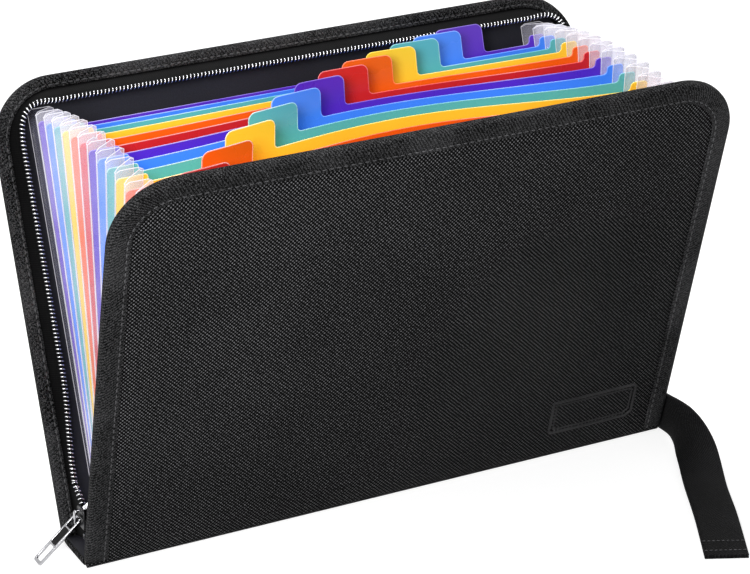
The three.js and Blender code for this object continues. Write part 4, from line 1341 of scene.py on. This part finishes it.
def strap_frame(share):
    """The strap's lower edge, the direction across it and the direction through it."""
    x, y, degrees = through_places(share)
    ahead = through_places(min(share + 1e-3, 1)) - through_places(max(share - 1e-3, 0))
    outward = np.array([-ahead[1], ahead[0], 0]) / np.hypot(ahead[0], ahead[1])
    flat, upright = math.sin(math.radians(degrees)), math.cos(math.radians(degrees))
    up = np.array([0, 0, 1.0])
    return (np.array([STRAP_ROOT + x, y, STRAP_HALF * flat]), outward * flat + up * upright,
            -outward * upright + up * flat)


# %% Weave the strap
strap_frames = [strap_frame(share) for share in np.linspace(0, 1, 97)]
strap_run = distances([edge for edge, _, _ in strap_frames])
PLY = [(0.3, -0.5), (0, -0.2), (0, 0.2), (0.3, 0.5), (2, 0.46), (12, 0.5), (22, 0.46), (23.7, 0.5),
       (24, 0.2), (24, -0.2), (23.7, -0.5), (12, -0.5)]
draft = Draft()
for middle in (-PLY_MIDDLE, PLY_MIDDLE):
    points = [
        edge + across * width + through * (middle + level)
        for edge, across, through in strap_frames
        for width, level in PLY
    ]
    draft.rows(points, len(PLY), ring=True, cloth=[(run, width) for run in strap_run for width, _ in PLY])
strap = draft.piece("wrist_strap_webbing", strap_cloth)
strap.data.set_sharp_from_angle(angle=math.radians(60))
belongs(strap, "webbing", "strap", "wrist_strap")

for number, share in enumerate((0.018, 0.958, 0.986)):
    edge, across, through = strap_frame(share)
    widths = np.linspace(1.5, STRAP_WIDTH - 1.5, 12)
    line = [edge + across * width + through * STITCH_LEVEL for width in widths]
    sewn = seam(f"strap_seam_{number}", line, None, through, pitch=2.6, length=2.1, width=0.6)
    belongs(sewn, "webbing", "strap")

# %% [markdown]
# ## The pressed frame
# Low on the front cover a plain frame is pressed into the cloth, with nothing in it. It is a raised double
# line with one corner cut off, with a pressed cloth finish of its own.

# %% Press the frame
FRAME_LOW, FRAME_HIGH, FRAME_LEFT, FRAME_RIGHT = 18, 41, 102, 157
draft = Draft()
for inset, radius in ((0.0, 0.9), (2.4, 0.5)):
    low, high = FRAME_LOW + inset, FRAME_HIGH - inset
    left, right = FRAME_LEFT + inset, FRAME_RIGHT - inset
    corners = [(left + 1, low), (right - 3.5, low), (right, low + 3), (right, high - 1.5),
               (right - 1.5, high), (left, high), (left, low + 1.5), (left + 1, low)]
    path = [(x, float(skin_depth(x, z)) - 0.05, z) for x, z in subdivided(corners, 2.5)]
    draft.bead(path, radius, sides=8)
badge = draft.piece("pressed_frame", pressed_cloth, place=COVER_PLACES["front"])
belongs(badge, "fabric", "front_cover")

# %% [markdown]
# ## CAD solids that stay
# The boards lie sealed inside the covers and the base, and the small metal stops are already right.
# They keep their solids and get their finishes here.

# %% Finish the CAD solids that stay
KEPT_SOLIDS = {
    grey_board: ("front_cover_board", "back_cover_board", "spine_board"),
    coil_metal: ("front_zip_stop", "back_zip_stop", "zip_bottom_stop"),
}
for finish, nodes in KEPT_SOLIDS.items():
    for node in nodes:
        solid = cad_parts[node]
        solid.data.materials.clear()
        solid.data.materials.append(finish)

# %% [markdown]
# ## The studio
# The file stands on a white floor in an even white room. The room lights the file softly, and shows
# as pure white to the camera, in reflections and through clear film. A large lamp from the upper
# left gives the cloth its sheen.

# %% The floor
FLOOR_HALF, FLOOR_Z = 4000, -0.2
paper = Finish("studio floor", Roughness=0.95, Specular_IOR_Level=0.1, Emission_Color=(1, 1, 1, 1))
paper.tint(paper.noise(paper.place, 3.0), (0.48, 0.48, 0.48, 1), (0.52, 0.52, 0.52, 1))
paper.set(Emission_Strength=paper.times(paper.background(), 0.72))
floor_corners = [(x * FLOOR_HALF, y * FLOOR_HALF, FLOOR_Z) for x, y in ((-1, -1), (1, -1), (1, 1), (-1, 1))]
ground = Draft().add(floor_corners, [(0, 1, 2, 3)]).piece("floor", paper.material, closed=False)

# %% The room and the lamps
scene = bpy.context.scene
world = bpy.data.worlds.new("room")
world.use_nodes = True
room = Wiring(world.node_tree)
sky = room.tree.nodes["Background"]
room.feed(sky.inputs["Color"], (1, 1, 1, 1))
room.feed(sky.inputs["Strength"], room.ramp(room.background(), 0.0, 1.0, 0.36, 1.0))
scene.world = world


def lamp(name, place, target, size, power):
    light = bpy.data.lights.new(name, "AREA")
    light.shape = "DISK"
    light.size = size
    light.energy = power
    made = linked(name, light)
    made.location = place
    made.rotation_euler = (Vector(target) - Vector(place)).to_track_quat("-Z", "Y").to_euler()


lamp("key lamp", (-0.6, -0.66, 0.62), (-0.08, 0, 0.2), 0.4, 8)
lamp("fill lamp", (1.5, -1.4, 1.0), (0, 0, 0.12), 1.2, 2)
lamp("top lamp", (0.1, 0.6, 1.9), (0, 0, 0.15), 1.0, 30)

# %% [markdown]
# ## The camera
# The camera was found by matching the corners of the case in the photograph: it looks from the
# front left, a little above, from about a metre and a half.

# %% Place the camera
VIEW_AZIMUTH = math.radians(-25.883)
VIEW_HEIGHT = math.radians(22.658)
VIEW_ROLL = math.radians(-1.349)
VIEW_DISTANCE = 1.5583
VIEW_TARGET = Vector((5.329, 0, 120.593))
lens = bpy.data.cameras.new("camera")
lens.lens = 134.24
lens.sensor_width = 36
lens.clip_start = 0.05
camera = linked("camera", lens)
aim = Matrix.Translation(VIEW_TARGET * MM)
turned = Matrix.Rotation(VIEW_AZIMUTH, 4, "Z") @ Matrix.Rotation(math.pi / 2 - VIEW_HEIGHT, 4, "X")
rolled = Matrix.Rotation(VIEW_ROLL, 4, "Z") @ Matrix.Translation((0, 0, VIEW_DISTANCE))
camera.matrix_world = aim @ turned @ rolled
scene.camera = camera
scene.view_settings.view_transform = "Standard"
